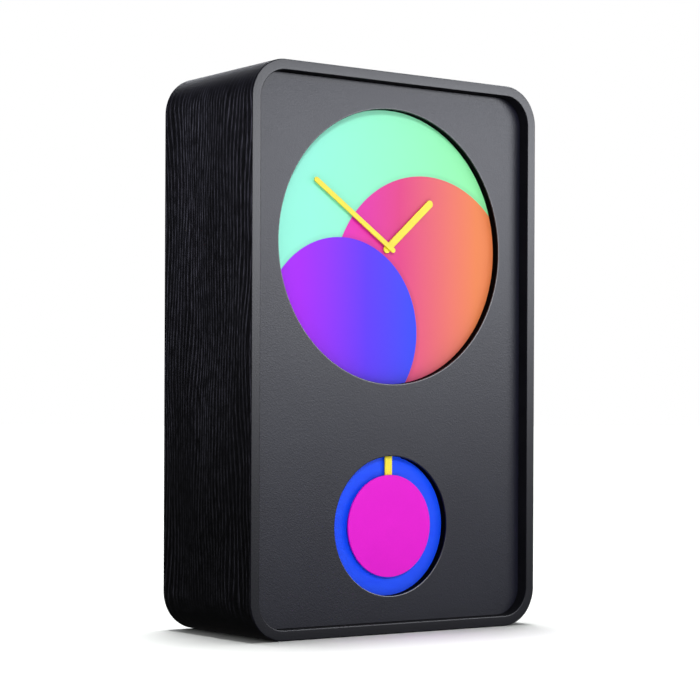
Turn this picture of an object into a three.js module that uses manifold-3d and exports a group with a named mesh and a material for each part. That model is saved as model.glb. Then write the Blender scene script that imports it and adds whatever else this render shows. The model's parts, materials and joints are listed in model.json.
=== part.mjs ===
// Pendulum desk clock: a deep rounded wooden case, a black front panel with a round dial and a
// round pendulum window, and a battery movement with its whole wheel train.
// Millimetres, +Z up. The origin is the centre of the base and the dial faces -Y.
// Inside the clock group Y is the depth behind the front rim.
import * as THREE from 'three';
import { mergeVertices } from 'three/addons/utils/BufferGeometryUtils.js';
import Module from 'manifold-3d';

const wasm = await Module();
wasm.setup();

// Case
const caseWidth = 190;
const caseHeight = 300;
const caseDepth = 86;
const caseWall = 5.6;
const caseCornerRadius = 21;
const rimRounding = 0.6;
const frontRecess = 6.6;
const rearRecess = 2.2;

// Clearances shared by every piece
const fitClearance = 0.3;
const glueLine = 0.1;
const runningGap = 0.3;
const cutOverrun = 1;
const weldDistance = 0.0001;

// Front panel and the two printed discs behind it
const panelThickness = 4.7;
const dialSideBorder = 21.25;
const dialTopBorder = 18.95;
const openingBand = 38.85;
const windowBottomBorder = 19.7;
const discThickness = 1.5;
const discLap = 4.8;
const discBattenGap = 0.75;
const reliefDepth = 2.7;

// Wooden battens, carrier board and back board
const rearBattenWidth = 10;
const rearBattenThickness = 8;
const carrierHeight = 64;
const carrierThickness = 5;
const backBoardThickness = 4;
const accessWidth = 104;
const accessHeight = 150;
const accessCornerRadius = 12;

// Pan head screws
const screwShankRadius = 1.25;
const screwHeadRadius = 2.9;
const screwHeadHeight = 1.7;
const screwCrownShare = 0.62;
const screwLength = 9;
const screwHoleClearance = 0.15;
const screwEndDistance = 20;

// Hands
const minuteHandEdgeGap = 13.75;
const minuteHandWidth = 2.8;
const hourHandEdgeGap = 34.25;
const hourHandWidth = 4.2;
const minuteHandTail = 2.7;
const hourHandTail = 1.6;
const handThickness = 0.6;
const handDialGap = 0.8;
const handGap = 0.5;
const minuteHandAngle = -55.5;
const hourHandAngle = 48.2;

// Movement housing, measured from the hand axis and from its own front face
const housingWall = 1.4;
const housingCornerRadius = 3;
const trainRoomAbove = 26.6;
const pendulumRoomHeight = 51.7;
const batteryDiameter = 14.5;
const batteryLength = 50.5;
const batteryButtonDiameter = 5.5;
const batteryButtonLength = 1;
const contactRoom = 1.35;
const contactThickness = 0.4;
const contactHeight = 9;
const bushDiameter = 6.5;
const bushBore = 4.2;
const bushThreadReach = 0.5;
const bushDiscGap = 0.5;
const rubberWasherThickness = 1;
const rubberWasherDiameter = 15;
const brassWasherThickness = 0.5;
const brassWasherDiameter = 12;
const nutThickness = 1.9;
const nutAcrossFlats = 9;
const mountingPostRadius = 2;

// Arbors and wheels
const minuteArborRadius = 0.95;
const hourTubeRadius = 1.7;
const arborRadius = 0.4;
const pivotRadius = 0.25;
const pivotHoleRadius = 0.4;
const pivotLength = 0.45;
const bossRadius = 1.4;
const bossHeight = 1.9;
const wheelThickness = 0.6;
const pinionOverhang = 0.2;
const middlePlateThickness = 1;
const clutchThickness = 0.2;
const centreDistance = 9;
const fifthCentreDistance = 6.24;
const rotorCentreDistance = 5.04;
const rotorMagnetRadius = 2.2;
const rotorMagnetLength = 1.8;
const statorThickness = 1;
const coilCoreRadius = 1.3;
const coilWindingRadius = 2.9;
const bobbinWall = 0.3;
const coilEndGap = 1.38;
const settingShaftRadius = 1.2;
const settingKnobRadius = 5.5;
const settingKnobLength = 3.6;
const circuitWheelGap = 1.375;
const circuitThickness = 0.8;
const crystalRadius = 1;
const crystalLength = 6;
const crystalPlaceShare = 0.7;
const circuitPostShares = [0.15, 0.85];

// Tooth counts of the motion work and the time train
const cannonTeeth = 10;
const minuteWheelTeeth = 30;
const minutePinionTeeth = 8;
const hourWheelTeeth = 32;
const settingPinionTeeth = 10;
const centreWheelTeeth = 48;
const thirdPinionTeeth = 6;
const thirdWheelTeeth = 45;
const secondPinionTeeth = 6;
const secondWheelTeeth = 30;
const fifthPinionTeeth = 6;
const fifthWheelTeeth = 36;
const rotorPinionTeeth = 6;

// Directions from one arbor to the next, in degrees anticlockwise from +X as seen from the front
const minuteWheelDirection = 20;
const settingDirection = -30;
const thirdWheelDirection = 150;
const fifthWheelDirection = 60;
const rotorDirection = 20;

// Tooth form: height in shares of the module, thickness in shares of the tooth pitch
const addendumShare = 0.82;
const dedendumShare = 1.12;
const toothRootShare = 0.58;
const toothTipShare = 0.2;
const spokeHoleShare = 0.22;
const spokeCircleShare = 0.6;

// Pendulum
const pendulumSwing = 4;
const pivotPinRadius = 1;
const pivotRoomBelowBattery = 14;
const hangerWidth = 4;
const hangerThickness = 1;
const hangerEyeRadius = 3.4;
const hangerHookHeight = 2.4;
const hangerNotchDepth = 0.8;
const rodWidth = 4.5;
const rodThickness = 0.8;
const rodEyeRadius = 4;
const rodEyeHoleRadius = 1.9;
const rodSetback = 1.9;
const bobWindowGap = 10;
const bobThickness = 1;
const pendulumMagnetRadius = 3.5;
const pendulumMagnetLength = 2.6;
const pendulumCoilRadius = 7.5;
const pendulumCoilBore = 2.4;
const coilFloorGap = 8.6;
const hookHeightShare = 0.53;

// How finely round forms are divided
const cornerSteps = 5;
const openingSteps = 64;
const roundSteps = 20;
const smallSteps = 12;
const screwSteps = 8;
const pivotSteps = 8;

// Sizes worked out from the ones above
const innerHalfWidth = caseWidth / 2 - caseWall;
const innerHalfHeight = caseHeight / 2 - caseWall;
const innerCornerRadius = caseCornerRadius - caseWall;
const caseCentreHeight = caseHeight / 2;
const dialOpeningDiameter = caseWidth - 2 * dialSideBorder;
const dialCentreHeight = caseHeight - dialTopBorder - dialOpeningDiameter / 2;
const dialDiscRadius = dialOpeningDiameter / 2 + discLap;
const windowTop = caseHeight - dialTopBorder - dialOpeningDiameter - openingBand;
const windowOpeningDiameter = windowTop - windowBottomBorder;
const windowCentreHeight = windowTop - windowOpeningDiameter / 2;
const windowDiscRadius = windowOpeningDiameter / 2 + discLap;
const windowDiscTop = windowCentreHeight + windowDiscRadius;
const bobDiameter = windowOpeningDiameter - 2 * bobWindowGap;
const minuteHandLength = dialOpeningDiameter / 2 - minuteHandEdgeGap;
const hourHandLength = dialOpeningDiameter / 2 - hourHandEdgeGap;

// The front battens fill what the two discs leave free along the case's walls.
const frontSideBattenWidth = innerHalfWidth - glueLine - dialDiscRadius - discBattenGap;
const frontTopBattenWidth =
  caseHeight - caseWall - glueLine - dialCentreHeight - dialDiscRadius - discBattenGap;
const frontBottomBattenWidth =
  windowCentreHeight - windowDiscRadius - discBattenGap - glueLine - caseWall;

// Depths behind the front rim
const frontBattenThickness = discThickness + bushDiscGap + bushThreadReach + nutThickness
  + brassWasherThickness + glueLine;
const panelBack = frontRecess + panelThickness;
const discFront = panelBack + glueLine;
const frontBattenBack = discFront + frontBattenThickness;
const carrierFront = frontBattenBack + glueLine;
const carrierBack = carrierFront + carrierThickness;
const movementFront = carrierBack + rubberWasherThickness + 2 * glueLine;
const backBoardFront = caseDepth - rearRecess - backBoardThickness;
const rearBattenFront = backBoardFront - glueLine - rearBattenThickness;
const hourHandBack = discFront - handDialGap;
const hourHandFront = hourHandBack - handThickness;
const minuteHandBack = hourHandFront - handGap;
const minuteHandFront = minuteHandBack - handThickness;
const reliefFloor = panelBack - reliefDepth;
const rodFront = discFront - rodSetback;
const rodBack = rodFront + rodThickness;
const bobFront = rodFront - glueLine - bobThickness;

// Gear sizes: each pair's module follows from its centre distance and its teeth
const moduleFor = (distance, teethA, teethB) => (2 * distance) / (teethA + teethB);
const cannonModule = moduleFor(centreDistance, cannonTeeth, minuteWheelTeeth);
const hourModule = moduleFor(centreDistance, minutePinionTeeth, hourWheelTeeth);
const centreModule = moduleFor(centreDistance, centreWheelTeeth, thirdPinionTeeth);
const thirdModule = moduleFor(centreDistance, thirdWheelTeeth, secondPinionTeeth);
const fifthModule = moduleFor(fifthCentreDistance, secondWheelTeeth, fifthPinionTeeth);
const rotorModule = moduleFor(rotorCentreDistance, fifthWheelTeeth, rotorPinionTeeth);
const settingCentreDistance = (cannonModule * (minuteWheelTeeth + settingPinionTeeth)) / 2;
const tipRadius = (teeth, module) => (teeth / 2 + addendumShare) * module;
const centreWheelRadius = tipRadius(centreWheelTeeth, centreModule);
const thirdWheelRadius = tipRadius(thirdWheelTeeth, thirdModule);
const coilFlangeRadius = coilWindingRadius + bobbinWall;

// Housing rooms, as heights from the hand axis
const housingInnerHalfWidth = batteryLength / 2 + contactRoom;
const housingHalfWidth = housingInnerHalfWidth + housingWall;
const housingTop = trainRoomAbove + housingWall;
const trainRoomBottom = -(centreWheelRadius + 3 * runningGap);
const batteryRoomTop = trainRoomBottom - housingWall;
const batteryRoomHeight = batteryDiameter + 2 * fitClearance;
const batteryRoomBottom = batteryRoomTop - batteryRoomHeight;
const batteryHeight = batteryRoomTop - batteryRoomHeight / 2;
const pendulumRoomTop = batteryRoomBottom - housingWall;
const pendulumRoomBottom = pendulumRoomTop - pendulumRoomHeight;
const housingBottom = pendulumRoomBottom - housingWall;
const pivotHeight = batteryRoomBottom - pivotRoomBelowBattery;

// Housing depths behind its own front face
const batteryDepth = housingWall + fitClearance + batteryDiameter / 2;
const hourWheelLevel = housingWall + runningGap + pinionOverhang;
const minutePinionLevel = hourWheelLevel - pinionOverhang;
const pinionFace = wheelThickness + 2 * pinionOverhang;
const minuteWheelLevel = minutePinionLevel + pinionFace + runningGap + pinionOverhang;
const cannonLevel = minuteWheelLevel - pinionOverhang;
const clutchLevel = cannonLevel + pinionFace + glueLine;
const centreWheelLevel = clutchLevel + clutchThickness + glueLine;
const thirdPinionLevel = centreWheelLevel - pinionOverhang;
const middlePlateFront = thirdPinionLevel + pinionFace + runningGap;
const middlePlateBack = middlePlateFront + middlePlateThickness;
const secondPinionLevel = middlePlateBack + runningGap;
const thirdWheelLevel = secondPinionLevel + pinionOverhang;
const fifthPinionLevel = secondPinionLevel + pinionFace + runningGap;
const secondWheelLevel = fifthPinionLevel + pinionOverhang;
const rotorPinionLevel = fifthPinionLevel + pinionFace + glueLine;
const fifthWheelLevel = rotorPinionLevel + pinionOverhang;
const rotorMagnetLevel = rotorPinionLevel + pinionFace + runningGap;
const statorLevel = rotorMagnetLevel + (rotorMagnetLength - statorThickness) / 2;
const circuitLevel = middlePlateBack + 2 * runningGap;

// The deepest of battery, motor coil and rotor sets where the cover lies.
const coverFront = Math.max(
  batteryDepth + batteryDiameter / 2 + 2 * fitClearance - housingWall,
  statorLevel + statorThickness / 2 + coilFlangeRadius + runningGap,
  rotorMagnetLevel + rotorMagnetLength + runningGap + bossHeight,
);
const housingDepth = coverFront + housingWall;
const trayDepth = coverFront - glueLine;
const bossFront = coverFront - bossHeight;

// Heights above the base
const pivotHeightAboveBase = dialCentreHeight + pivotHeight;
const housingFloorHeight = dialCentreHeight + housingBottom;
const hookHeight = windowDiscTop + hookHeightShare * (housingFloorHeight - windowDiscTop);

const radians = THREE.MathUtils.degToRad;
const placeAt = (distance, direction) => ({
  x: distance * Math.cos(radians(direction)),
  z: distance * Math.sin(radians(direction)),
});
const movedBy = (start, step) => ({ x: start.x + step.x, z: start.z + step.z });

const handAxis = { x: 0, z: 0 };
const minuteWheelPlace = placeAt(centreDistance, minuteWheelDirection);
const settingPlace = movedBy(minuteWheelPlace, placeAt(settingCentreDistance, settingDirection));
const thirdWheelPlace = placeAt(centreDistance, thirdWheelDirection);
const fifthWheelPlace = placeAt(fifthCentreDistance, fifthWheelDirection);
const rotorPlace = movedBy(fifthWheelPlace, placeAt(rotorCentreDistance, rotorDirection));

function finish(color, roughness, metalness = 0) {
  return new THREE.MeshStandardMaterial({ color, roughness, metalness });
}

const stainedVeneer = finish('#1b1a1d', 0.55);
const paintedPanel = finish('#4a4b50', 0.6);
const dialPrint = finish('#d92bd0', 0.4);
const windowPrint = finish('#2653f7', 0.4);
const yellowPaint = finish('#faf941', 0.4);
const magentaPaint = finish('#eb20d4', 0.4);
const pineWood = finish('#b08a5a', 0.7);
const rawBoard = finish('#5e4a35', 0.8);
const blackBoard = finish('#1d1d1f', 0.75);
const zincSteel = finish('#b9bbbd', 0.35, 1);
const blackPlastic = finish('#17181a', 0.45);
const whiteNylon = finish('#e9e6dc', 0.45);
const brassMetal = finish('#c9a253', 0.3, 1);
const blackRubber = finish('#141414', 0.85);
const copperWire = finish('#b5652f', 0.35, 1);
const magnetSteel = finish('#6c6d70', 0.4, 1);
const circuitResin = finish('#1f5c37', 0.5);
const batterySleeve = finish('#2f6fae', 0.35, 0.3);

// A closed geometry becomes a solid once its shared vertices are joined.
function toSolid(geometry) {
  const bare = geometry.clone();
  bare.deleteAttribute('normal');
  bare.deleteAttribute('uv');
  const welded = mergeVertices(bare, weldDistance);
  return new wasm.Manifold(new wasm.Mesh({
    numProp: 3,
    vertProperties: new Float32Array(welded.attributes.position.array),
    triVerts: new Uint32Array(welded.index.array),
  }));
}

function toGeometry(solid) {
  const result = solid.getMesh();
  const geometry = new THREE.BufferGeometry();
  geometry.setAttribute('position', new THREE.BufferAttribute(result.vertProperties, 3));
  geometry.setIndex(new THREE.BufferAttribute(result.triVerts, 1));
  geometry.computeVertexNormals();
  return geometry;
}

function joined(...geometries) {
  const solids = geometries.map(toSolid);
  return toGeometry(solids.reduce((whole, next) => whole.add(next)));
}

function cutBy(geometry, cutters) {
  const body = cutters.reduce((left, cutter) => left.subtract(toSolid(cutter)), toSolid(geometry));
  return toGeometry(body);
}

function piece(name, geometry, material, place = {}) {
  const mesh = new THREE.Mesh(geometry, material);
  mesh.name = name;
  mesh.position.set(place.x ?? 0, place.y ?? 0, place.z ?? 0);
  return mesh;
}

// A flat shape drawn as seen from the front (x right, y up) becomes a plate whose front face
// lies at depth 0 and which reaches back by its thickness.
function plate(shape, thickness, options = {}) {
  const geometry = new THREE.ExtrudeGeometry(shape, {
    depth: thickness,
    bevelEnabled: false,
    curveSegments: options.steps ?? cornerSteps,
    ...options.bevel,
  });
  geometry.rotateX(Math.PI / 2);
  geometry.translate(0, thickness, 0);
  return geometry;
}

function roundedOutline(path, halfWidth, top, bottom, radius) {
  path.moveTo(-halfWidth + radius, bottom);
  path.lineTo(halfWidth - radius, bottom);
  path.absarc(halfWidth - radius, bottom + radius, radius, -Math.PI / 2, 0);
  path.lineTo(halfWidth, top - radius);
  path.absarc(halfWidth - radius, top - radius, radius, 0, Math.PI / 2);
  path.lineTo(-halfWidth + radius, top);
  path.absarc(-halfWidth + radius, top - radius, radius, Math.PI / 2, Math.PI);
  path.lineTo(-halfWidth, bottom + radius);
  path.absarc(-halfWidth + radius, bottom + radius, radius, Math.PI, 1.5 * Math.PI);
  return path;
}

function circleHole(x, y, radius) {
  return new THREE.Path().absarc(x, y, radius, 0, 2 * Math.PI, true);
}

// Round bar along the depth axis, from one depth to another
function bar(radius, from, to, place = handAxis, steps = smallSteps) {
  const geometry = new THREE.CylinderGeometry(radius, radius, to - from, steps);
  geometry.translate(place.x, (from + to) / 2, place.z);
  return geometry;
}

function ring(outerRadius, innerRadius, from, to, place = handAxis, steps = roundSteps) {
  const profile = [
    new THREE.Vector2(innerRadius, from),
    new THREE.Vector2(outerRadius, from),
    new THREE.Vector2(outerRadius, to),
    new THREE.Vector2(innerRadius, to),
    new THREE.Vector2(innerRadius, from),
  ];
  const geometry = new THREE.LatheGeometry(profile, steps);
  geometry.translate(place.x, 0, place.z);
  return geometry;
}

function block(halfWidth, from, to, bottom, top, centreX = 0) {
  const geometry = new THREE.BoxGeometry(2 * halfWidth, to - from, top - bottom);
  geometry.translate(centreX, (from + to) / 2, (top + bottom) / 2);
  return geometry;
}

// Outline of a gear whose first tooth points at the given angle
function gearOutline(teeth, module, phase) {
  const outer = tipRadius(teeth, module);
  const inner = (teeth / 2 - dedendumShare) * module;
  const step = (2 * Math.PI) / teeth;
  const shape = new THREE.Shape();
  const corners = [
    [inner, -toothRootShare / 2],
    [outer, -toothTipShare / 2],
    [outer, toothTipShare / 2],
    [inner, toothRootShare / 2],
  ];
  for (let tooth = 0; tooth < teeth; tooth += 1) {
    for (const [radius, share] of corners) {
      const angle = phase + (tooth + share) * step;
      const point = [radius * Math.cos(angle), radius * Math.sin(angle)];
      if (tooth === 0 && share === corners[0][1]) shape.moveTo(...point);
      else shape.lineTo(...point);
    }
  }
  shape.closePath();
  return shape;
}

// The driven gear's phase that puts one of its gaps where the driver has a tooth
function meshPhase(driverTeeth, driverPhase, direction, drivenTeeth) {
  const towards = radians(direction);
  const driverShare = ((towards - driverPhase) * driverTeeth) / (2 * Math.PI);
  return towards + Math.PI - ((0.5 - driverShare) * 2 * Math.PI) / drivenTeeth;
}

function gear(teeth, module, phase, level, thickness, place = handAxis, bore = 0) {
  const shape = gearOutline(teeth, module, phase);
  if (bore > 0) shape.holes.push(circleHole(0, 0, bore));
  const geometry = plate(shape, thickness, { steps: pivotSteps / 2 });
  geometry.translate(place.x, level, place.z);
  return geometry;
}

// A thin wheel with a ring of round lightening holes
function openWheel(teeth, module, phase, level, place, bore) {
  const holes = 4;
  const shape = gearOutline(teeth, module, phase);
  const pitch = (teeth / 2) * module;
  if (bore > 0) shape.holes.push(circleHole(0, 0, bore));
  for (let hole = 0; hole < holes; hole += 1) {
    const around = placeAt(pitch * spokeCircleShare, (hole * 360) / holes);
    shape.holes.push(circleHole(around.x, around.z, pitch * spokeHoleShare));
  }
  const geometry = plate(shape, wheelThickness, { steps: pivotSteps / 2 });
  geometry.translate(place.x, level, place.z);
  return geometry;
}

const cannonPhase = 0;
const minuteWheelPhase = meshPhase(cannonTeeth, cannonPhase, minuteWheelDirection, minuteWheelTeeth);
const minutePinionPhase = 0;
const hourWheelPhase = meshPhase(
  minutePinionTeeth, minutePinionPhase, minuteWheelDirection + 180, hourWheelTeeth);
const settingPhase = meshPhase(
  minuteWheelTeeth, minuteWheelPhase, settingDirection, settingPinionTeeth);
const centreWheelPhase = 0;
const thirdPinionPhase = meshPhase(
  centreWheelTeeth, centreWheelPhase, thirdWheelDirection, thirdPinionTeeth);
const thirdWheelPhase = 0;
const secondPinionPhase = meshPhase(
  thirdWheelTeeth, thirdWheelPhase, thirdWheelDirection + 180, secondPinionTeeth);
const secondWheelPhase = 0;
const fifthPinionPhase = meshPhase(
  secondWheelTeeth, secondWheelPhase, fifthWheelDirection, fifthPinionTeeth);
const fifthWheelPhase = 0;
const rotorPinionPhase = meshPhase(
  fifthWheelTeeth, fifthWheelPhase, rotorDirection, rotorPinionTeeth);

// The case

function caseShell() {
  const half = caseCentreHeight;
  const shape = roundedOutline(new THREE.Shape(), caseWidth / 2, half, -half, caseCornerRadius);
  shape.holes.push(roundedOutline(
    new THREE.Path(), innerHalfWidth, innerHalfHeight, -innerHalfHeight, innerCornerRadius));
  const geometry = plate(shape, caseDepth - 2 * rimRounding, {
    bevel: {
      bevelEnabled: true,
      bevelThickness: rimRounding,
      bevelSize: rimRounding,
      bevelOffset: -rimRounding,
      bevelSegments: 1,
    },
  });
  geometry.translate(0, rimRounding, 0);
  return piece('case_shell', geometry, stainedVeneer, { z: caseCentreHeight });
}

function boardOutline() {
  const halfWidth = innerHalfWidth - fitClearance;
  const halfHeight = innerHalfHeight - fitClearance;
  return roundedOutline(new THREE.Shape(), halfWidth, halfHeight, -halfHeight, innerCornerRadius);
}

// Room routed into the back of the panel for the swinging rod and its eye
function rodRelief() {
  const sweep = (pivotHeightAboveBase - windowTop) * Math.tan(radians(pendulumSwing));
  const halfWidth = Math.max(rodWidth / 2 + sweep, rodEyeRadius + sweep) + runningGap;
  const top = hookHeight + 2 * rodEyeRadius;
  const bottom = windowTop - 2 * rodEyeRadius;
  return block(halfWidth, reliefFloor, panelBack + cutOverrun, bottom, top);
}

function frontPanel() {
  const shape = boardOutline();
  const dialY = dialCentreHeight - caseCentreHeight;
  const windowY = windowCentreHeight - caseCentreHeight;
  shape.holes.push(circleHole(0, dialY, dialOpeningDiameter / 2));
  shape.holes.push(circleHole(0, windowY, windowOpeningDiameter / 2));
  const board = plate(shape, panelThickness, { steps: openingSteps / 4 });
  board.translate(0, frontRecess, caseCentreHeight);
  return piece('front_panel', cutBy(board, [rodRelief()]), paintedPanel);
}

function dialDisc() {
  const shape = new THREE.Shape().absarc(0, 0, dialDiscRadius, 0, 2 * Math.PI);
  shape.holes.push(circleHole(0, 0, hourTubeRadius + 2 * runningGap));
  const geometry = plate(shape, discThickness, { steps: openingSteps / 4 });
  return piece('dial_disc', geometry, dialPrint, { y: discFront, z: dialCentreHeight });
}

function windowDisc() {
  const geometry = bar(windowDiscRadius, 0, discThickness, handAxis, openingSteps / 2);
  return piece('window_disc', geometry, windowPrint, { y: discFront, z: windowCentreHeight });
}

// Places of the screws, as seen from the front
const sideScrewX = innerHalfWidth - glueLine - rearBattenWidth / 2;
const endScrewZ = innerHalfHeight - glueLine - rearBattenWidth / 2;
const sideBattenHalf = innerHalfHeight - innerCornerRadius - fitClearance;
const endBattenHalf = innerHalfWidth - innerCornerRadius - fitClearance;
const backScrewZ = sideBattenHalf - screwEndDistance;

const backBoardScrewPlaces = [
  { x: -sideScrewX, z: caseCentreHeight + backScrewZ },
  { x: sideScrewX, z: caseCentreHeight + backScrewZ },
  { x: -sideScrewX, z: caseCentreHeight - backScrewZ },
  { x: sideScrewX, z: caseCentreHeight - backScrewZ },
  { x: 0, z: caseCentreHeight + endScrewZ },
  { x: 0, z: caseCentreHeight - endScrewZ },
];

function drilled(geometry, places, from, to) {
  const drills = places.map((place) => bar(
    screwShankRadius + screwHoleClearance, from - cutOverrun, to + cutOverrun, place, screwSteps));
  return cutBy(geometry, drills);
}

function sideBatten(name, side, width, from, to, places) {
  const x = side * (innerHalfWidth - glueLine - width / 2);
  const bottom = caseCentreHeight - sideBattenHalf;
  const top = caseCentreHeight + sideBattenHalf;
  const stick = block(width / 2, from, to, bottom, top, x);
  const holes = places.filter((place) => place.x * side > 0);
  const geometry = holes.length > 0 ? drilled(stick, holes, from, to) : stick;
  return piece(name, geometry, pineWood);
}

function endBatten(name, side, width, from, to, places) {
  const near = side * (innerHalfHeight - glueLine) + caseCentreHeight;
  const far = near - side * width;
  const stick = block(endBattenHalf, from, to, Math.min(near, far), Math.max(near, far));
  const holes = places.filter((place) => place.x === 0 && (place.z - caseCentreHeight) * side > 0);
  const geometry = holes.length > 0 ? drilled(stick, holes, from, to) : stick;
  return piece(name, geometry, pineWood);
}

function battens() {
  const front = [discFront, frontBattenBack, []];
  const rear = [
    rearBattenWidth, rearBattenFront, rearBattenFront + rearBattenThickness, backBoardScrewPlaces,
  ];
  return [
    sideBatten('front_batten_left', -1, frontSideBattenWidth, ...front),
    sideBatten('front_batten_right', 1, frontSideBattenWidth, ...front),
    endBatten('front_batten_top', 1, frontTopBattenWidth, ...front),
    endBatten('front_batten_bottom', -1, frontBottomBattenWidth, ...front),
    sideBatten('rear_batten_left', -1, ...rear),
    sideBatten('rear_batten_right', 1, ...rear),
    endBatten('rear_batten_top', 1, ...rear),
    endBatten('rear_batten_bottom', -1, ...rear),
  ];
}

// Crossbar behind the dial: the movement's bush passes through its middle.
function carrierBoard() {
  const half = carrierHeight / 2;
  const halfWidth = innerHalfWidth - fitClearance;
  const shape = new THREE.Shape();
  shape.moveTo(-halfWidth, -half);
  shape.lineTo(halfWidth, -half);
  shape.lineTo(halfWidth, half);
  shape.lineTo(-halfWidth, half);
  shape.closePath();
  shape.holes.push(circleHole(0, 0, bushDiameter / 2 + fitClearance));
  const geometry = plate(shape, carrierThickness, { steps: roundSteps / 2 });
  return piece('carrier_board', geometry, rawBoard, { y: carrierFront, z: dialCentreHeight });
}

// Back board with the opening through which the battery and the setting knob are reached
function backBoard() {
  const shape = boardOutline();
  const middle = dialCentreHeight + (housingTop + housingBottom) / 2 - caseCentreHeight;
  shape.holes.push(roundedOutline(new THREE.Path(), accessWidth / 2,
    middle + accessHeight / 2, middle - accessHeight / 2, accessCornerRadius));
  const board = plate(shape, backBoardThickness);
  board.translate(0, backBoardFront, caseCentreHeight);
  const back = backBoardFront + backBoardThickness;
  const geometry = drilled(board, backBoardScrewPlaces, backBoardFront, back);
  return piece('back_board', geometry, blackBoard);
}

// Pan head wood screw driven from behind, its head's seat at depth 0
function screw(place, seat) {
  const tip = 2 * screwShankRadius;
  const profile = [
    new THREE.Vector2(0, -screwLength),
    new THREE.Vector2(screwShankRadius, tip - screwLength),
    new THREE.Vector2(screwShankRadius, 0),
    new THREE.Vector2(screwHeadRadius, 0),
    new THREE.Vector2(screwHeadRadius, screwHeadHeight / 2),
    new THREE.Vector2(screwHeadRadius * screwCrownShare, screwHeadHeight),
    new THREE.Vector2(0, screwHeadHeight),
  ];
  const geometry = new THREE.LatheGeometry(profile, screwSteps);
  geometry.translate(place.x, seat, place.z);
  return geometry;
}

function screwSet(name, places, seat) {
  return places.map((place, index) => piece(
    `${name}_${index + 1}`, screw(place, seat + glueLine), zincSteel));
}

// Hands: straight bars with round ends and a short tail, each on a pressed collet

function handShape(length, width, tail) {
  const half = width / 2;
  const shape = new THREE.Shape();
  shape.moveTo(half, -tail);
  shape.lineTo(half, length - half);
  shape.absarc(0, length - half, half, 0, Math.PI);
  shape.lineTo(-half, -tail);
  shape.absarc(0, -tail, half, Math.PI, 2 * Math.PI);
  return shape;
}

function minuteHand() {
  const shape = handShape(minuteHandLength, minuteHandWidth, minuteHandTail);
  const blade = plate(shape, handThickness);
  blade.translate(0, minuteHandFront, 0);
  blade.rotateY(radians(minuteHandAngle));
  return piece('minute_hand', blade, yellowPaint);
}

function hourHand() {
  const shape = handShape(hourHandLength, hourHandWidth, hourHandTail);
  shape.holes.push(circleHole(0, 0, minuteArborRadius + runningGap));
  const blade = plate(shape, handThickness);
  blade.translate(0, hourHandFront, 0);
  blade.rotateY(radians(hourHandAngle));
  return piece('hour_hand', blade, yellowPaint);
}

// Movement parts below are placed from the hand axis and the housing's front face.

function minuteArbor() {
  const front = minuteHandBack - movementFront + glueLine;
  const back = middlePlateFront - glueLine;
  const shaft = bar(minuteArborRadius, front, back);
  const pivot = bar(pivotRadius, back - cutOverrun, back + pivotLength, handAxis, pivotSteps);
  const pinion = gear(cannonTeeth, cannonModule, cannonPhase, cannonLevel, pinionFace);
  return piece('minute_arbor', joined(shaft, pivot, pinion), zincSteel);
}

function hourWheel() {
  const front = hourHandBack - movementFront + glueLine;
  const bore = minuteArborRadius + runningGap;
  const tube = ring(hourTubeRadius, bore, front, hourWheelLevel + wheelThickness / 2);
  const wheel = gear(hourWheelTeeth, hourModule, hourWheelPhase, hourWheelLevel,
    wheelThickness, handAxis, bore);
  return piece('hour_wheel', joined(tube, wheel), brassMetal);
}

function minuteWheel() {
  const wheel = gear(minuteWheelTeeth, cannonModule, minuteWheelPhase, minuteWheelLevel,
    wheelThickness, minuteWheelPlace);
  const pinion = gear(minutePinionTeeth, hourModule, minutePinionPhase, minutePinionLevel,
    pinionFace, minuteWheelPlace);
  const front = housingWall - pivotLength;
  const back = middlePlateFront - runningGap;
  const arbor = bar(arborRadius, housingWall + glueLine, back, minuteWheelPlace, pivotSteps);
  const pivots = bar(pivotRadius, front, middlePlateFront + pivotLength, minuteWheelPlace, pivotSteps);
  return piece('minute_wheel', joined(wheel, pinion, arbor, pivots), whiteNylon);
}

function settingPinion() {
  const pinion = gear(settingPinionTeeth, cannonModule, settingPhase, cannonLevel, pinionFace,
    settingPlace);
  const front = bar(pivotRadius, housingWall - pivotLength, cannonLevel + cutOverrun / 2,
    settingPlace, pivotSteps);
  const back = housingDepth + settingKnobLength - 2 * runningGap;
  const shaft = bar(settingShaftRadius, housingWall + glueLine, back, settingPlace);
  return piece('setting_pinion', joined(pinion, front, shaft), whiteNylon);
}

// Knob with a fluted grip, pushed on the setting shaft behind the cover
function settingKnob() {
  const flutes = 12;
  const fluteRadius = (Math.PI * settingKnobRadius) / flutes / 2;
  const from = housingDepth + runningGap;
  const to = from + settingKnobLength;
  const body = ring(settingKnobRadius, settingShaftRadius + glueLine, from, to, settingPlace);
  const cap = bar(settingShaftRadius + 2 * glueLine, to - fitClearance, to, settingPlace);
  const cutters = [];
  for (let flute = 0; flute < flutes; flute += 1) {
    const around = placeAt(settingKnobRadius + fluteRadius / 2, (flute * 360) / flutes);
    cutters.push(bar(fluteRadius, from - cutOverrun, to + cutOverrun,
      movedBy(settingPlace, around), 6));
  }
  return piece('setting_knob', cutBy(joined(body, cap), cutters), whiteNylon);
}

function clutchSpring() {
  const inner = minuteArborRadius + glueLine;
  const shape = new THREE.Shape().absarc(0, 0, 2 * inner, 0, 2 * Math.PI);
  shape.holes.push(circleHole(0, 0, inner));
  const leaves = [plate(shape, clutchThickness, { steps: pivotSteps })];
  for (let leaf = 0; leaf < 3; leaf += 1) {
    const finger = block(inner / 2, 0, clutchThickness, 1.5 * inner, centreWheelRadius / 2);
    finger.rotateY((leaf * 2 * Math.PI) / 3);
    leaves.push(finger);
  }
  const geometry = joined(...leaves);
  geometry.translate(0, clutchLevel, 0);
  return piece('clutch_spring', geometry, brassMetal);
}

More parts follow.
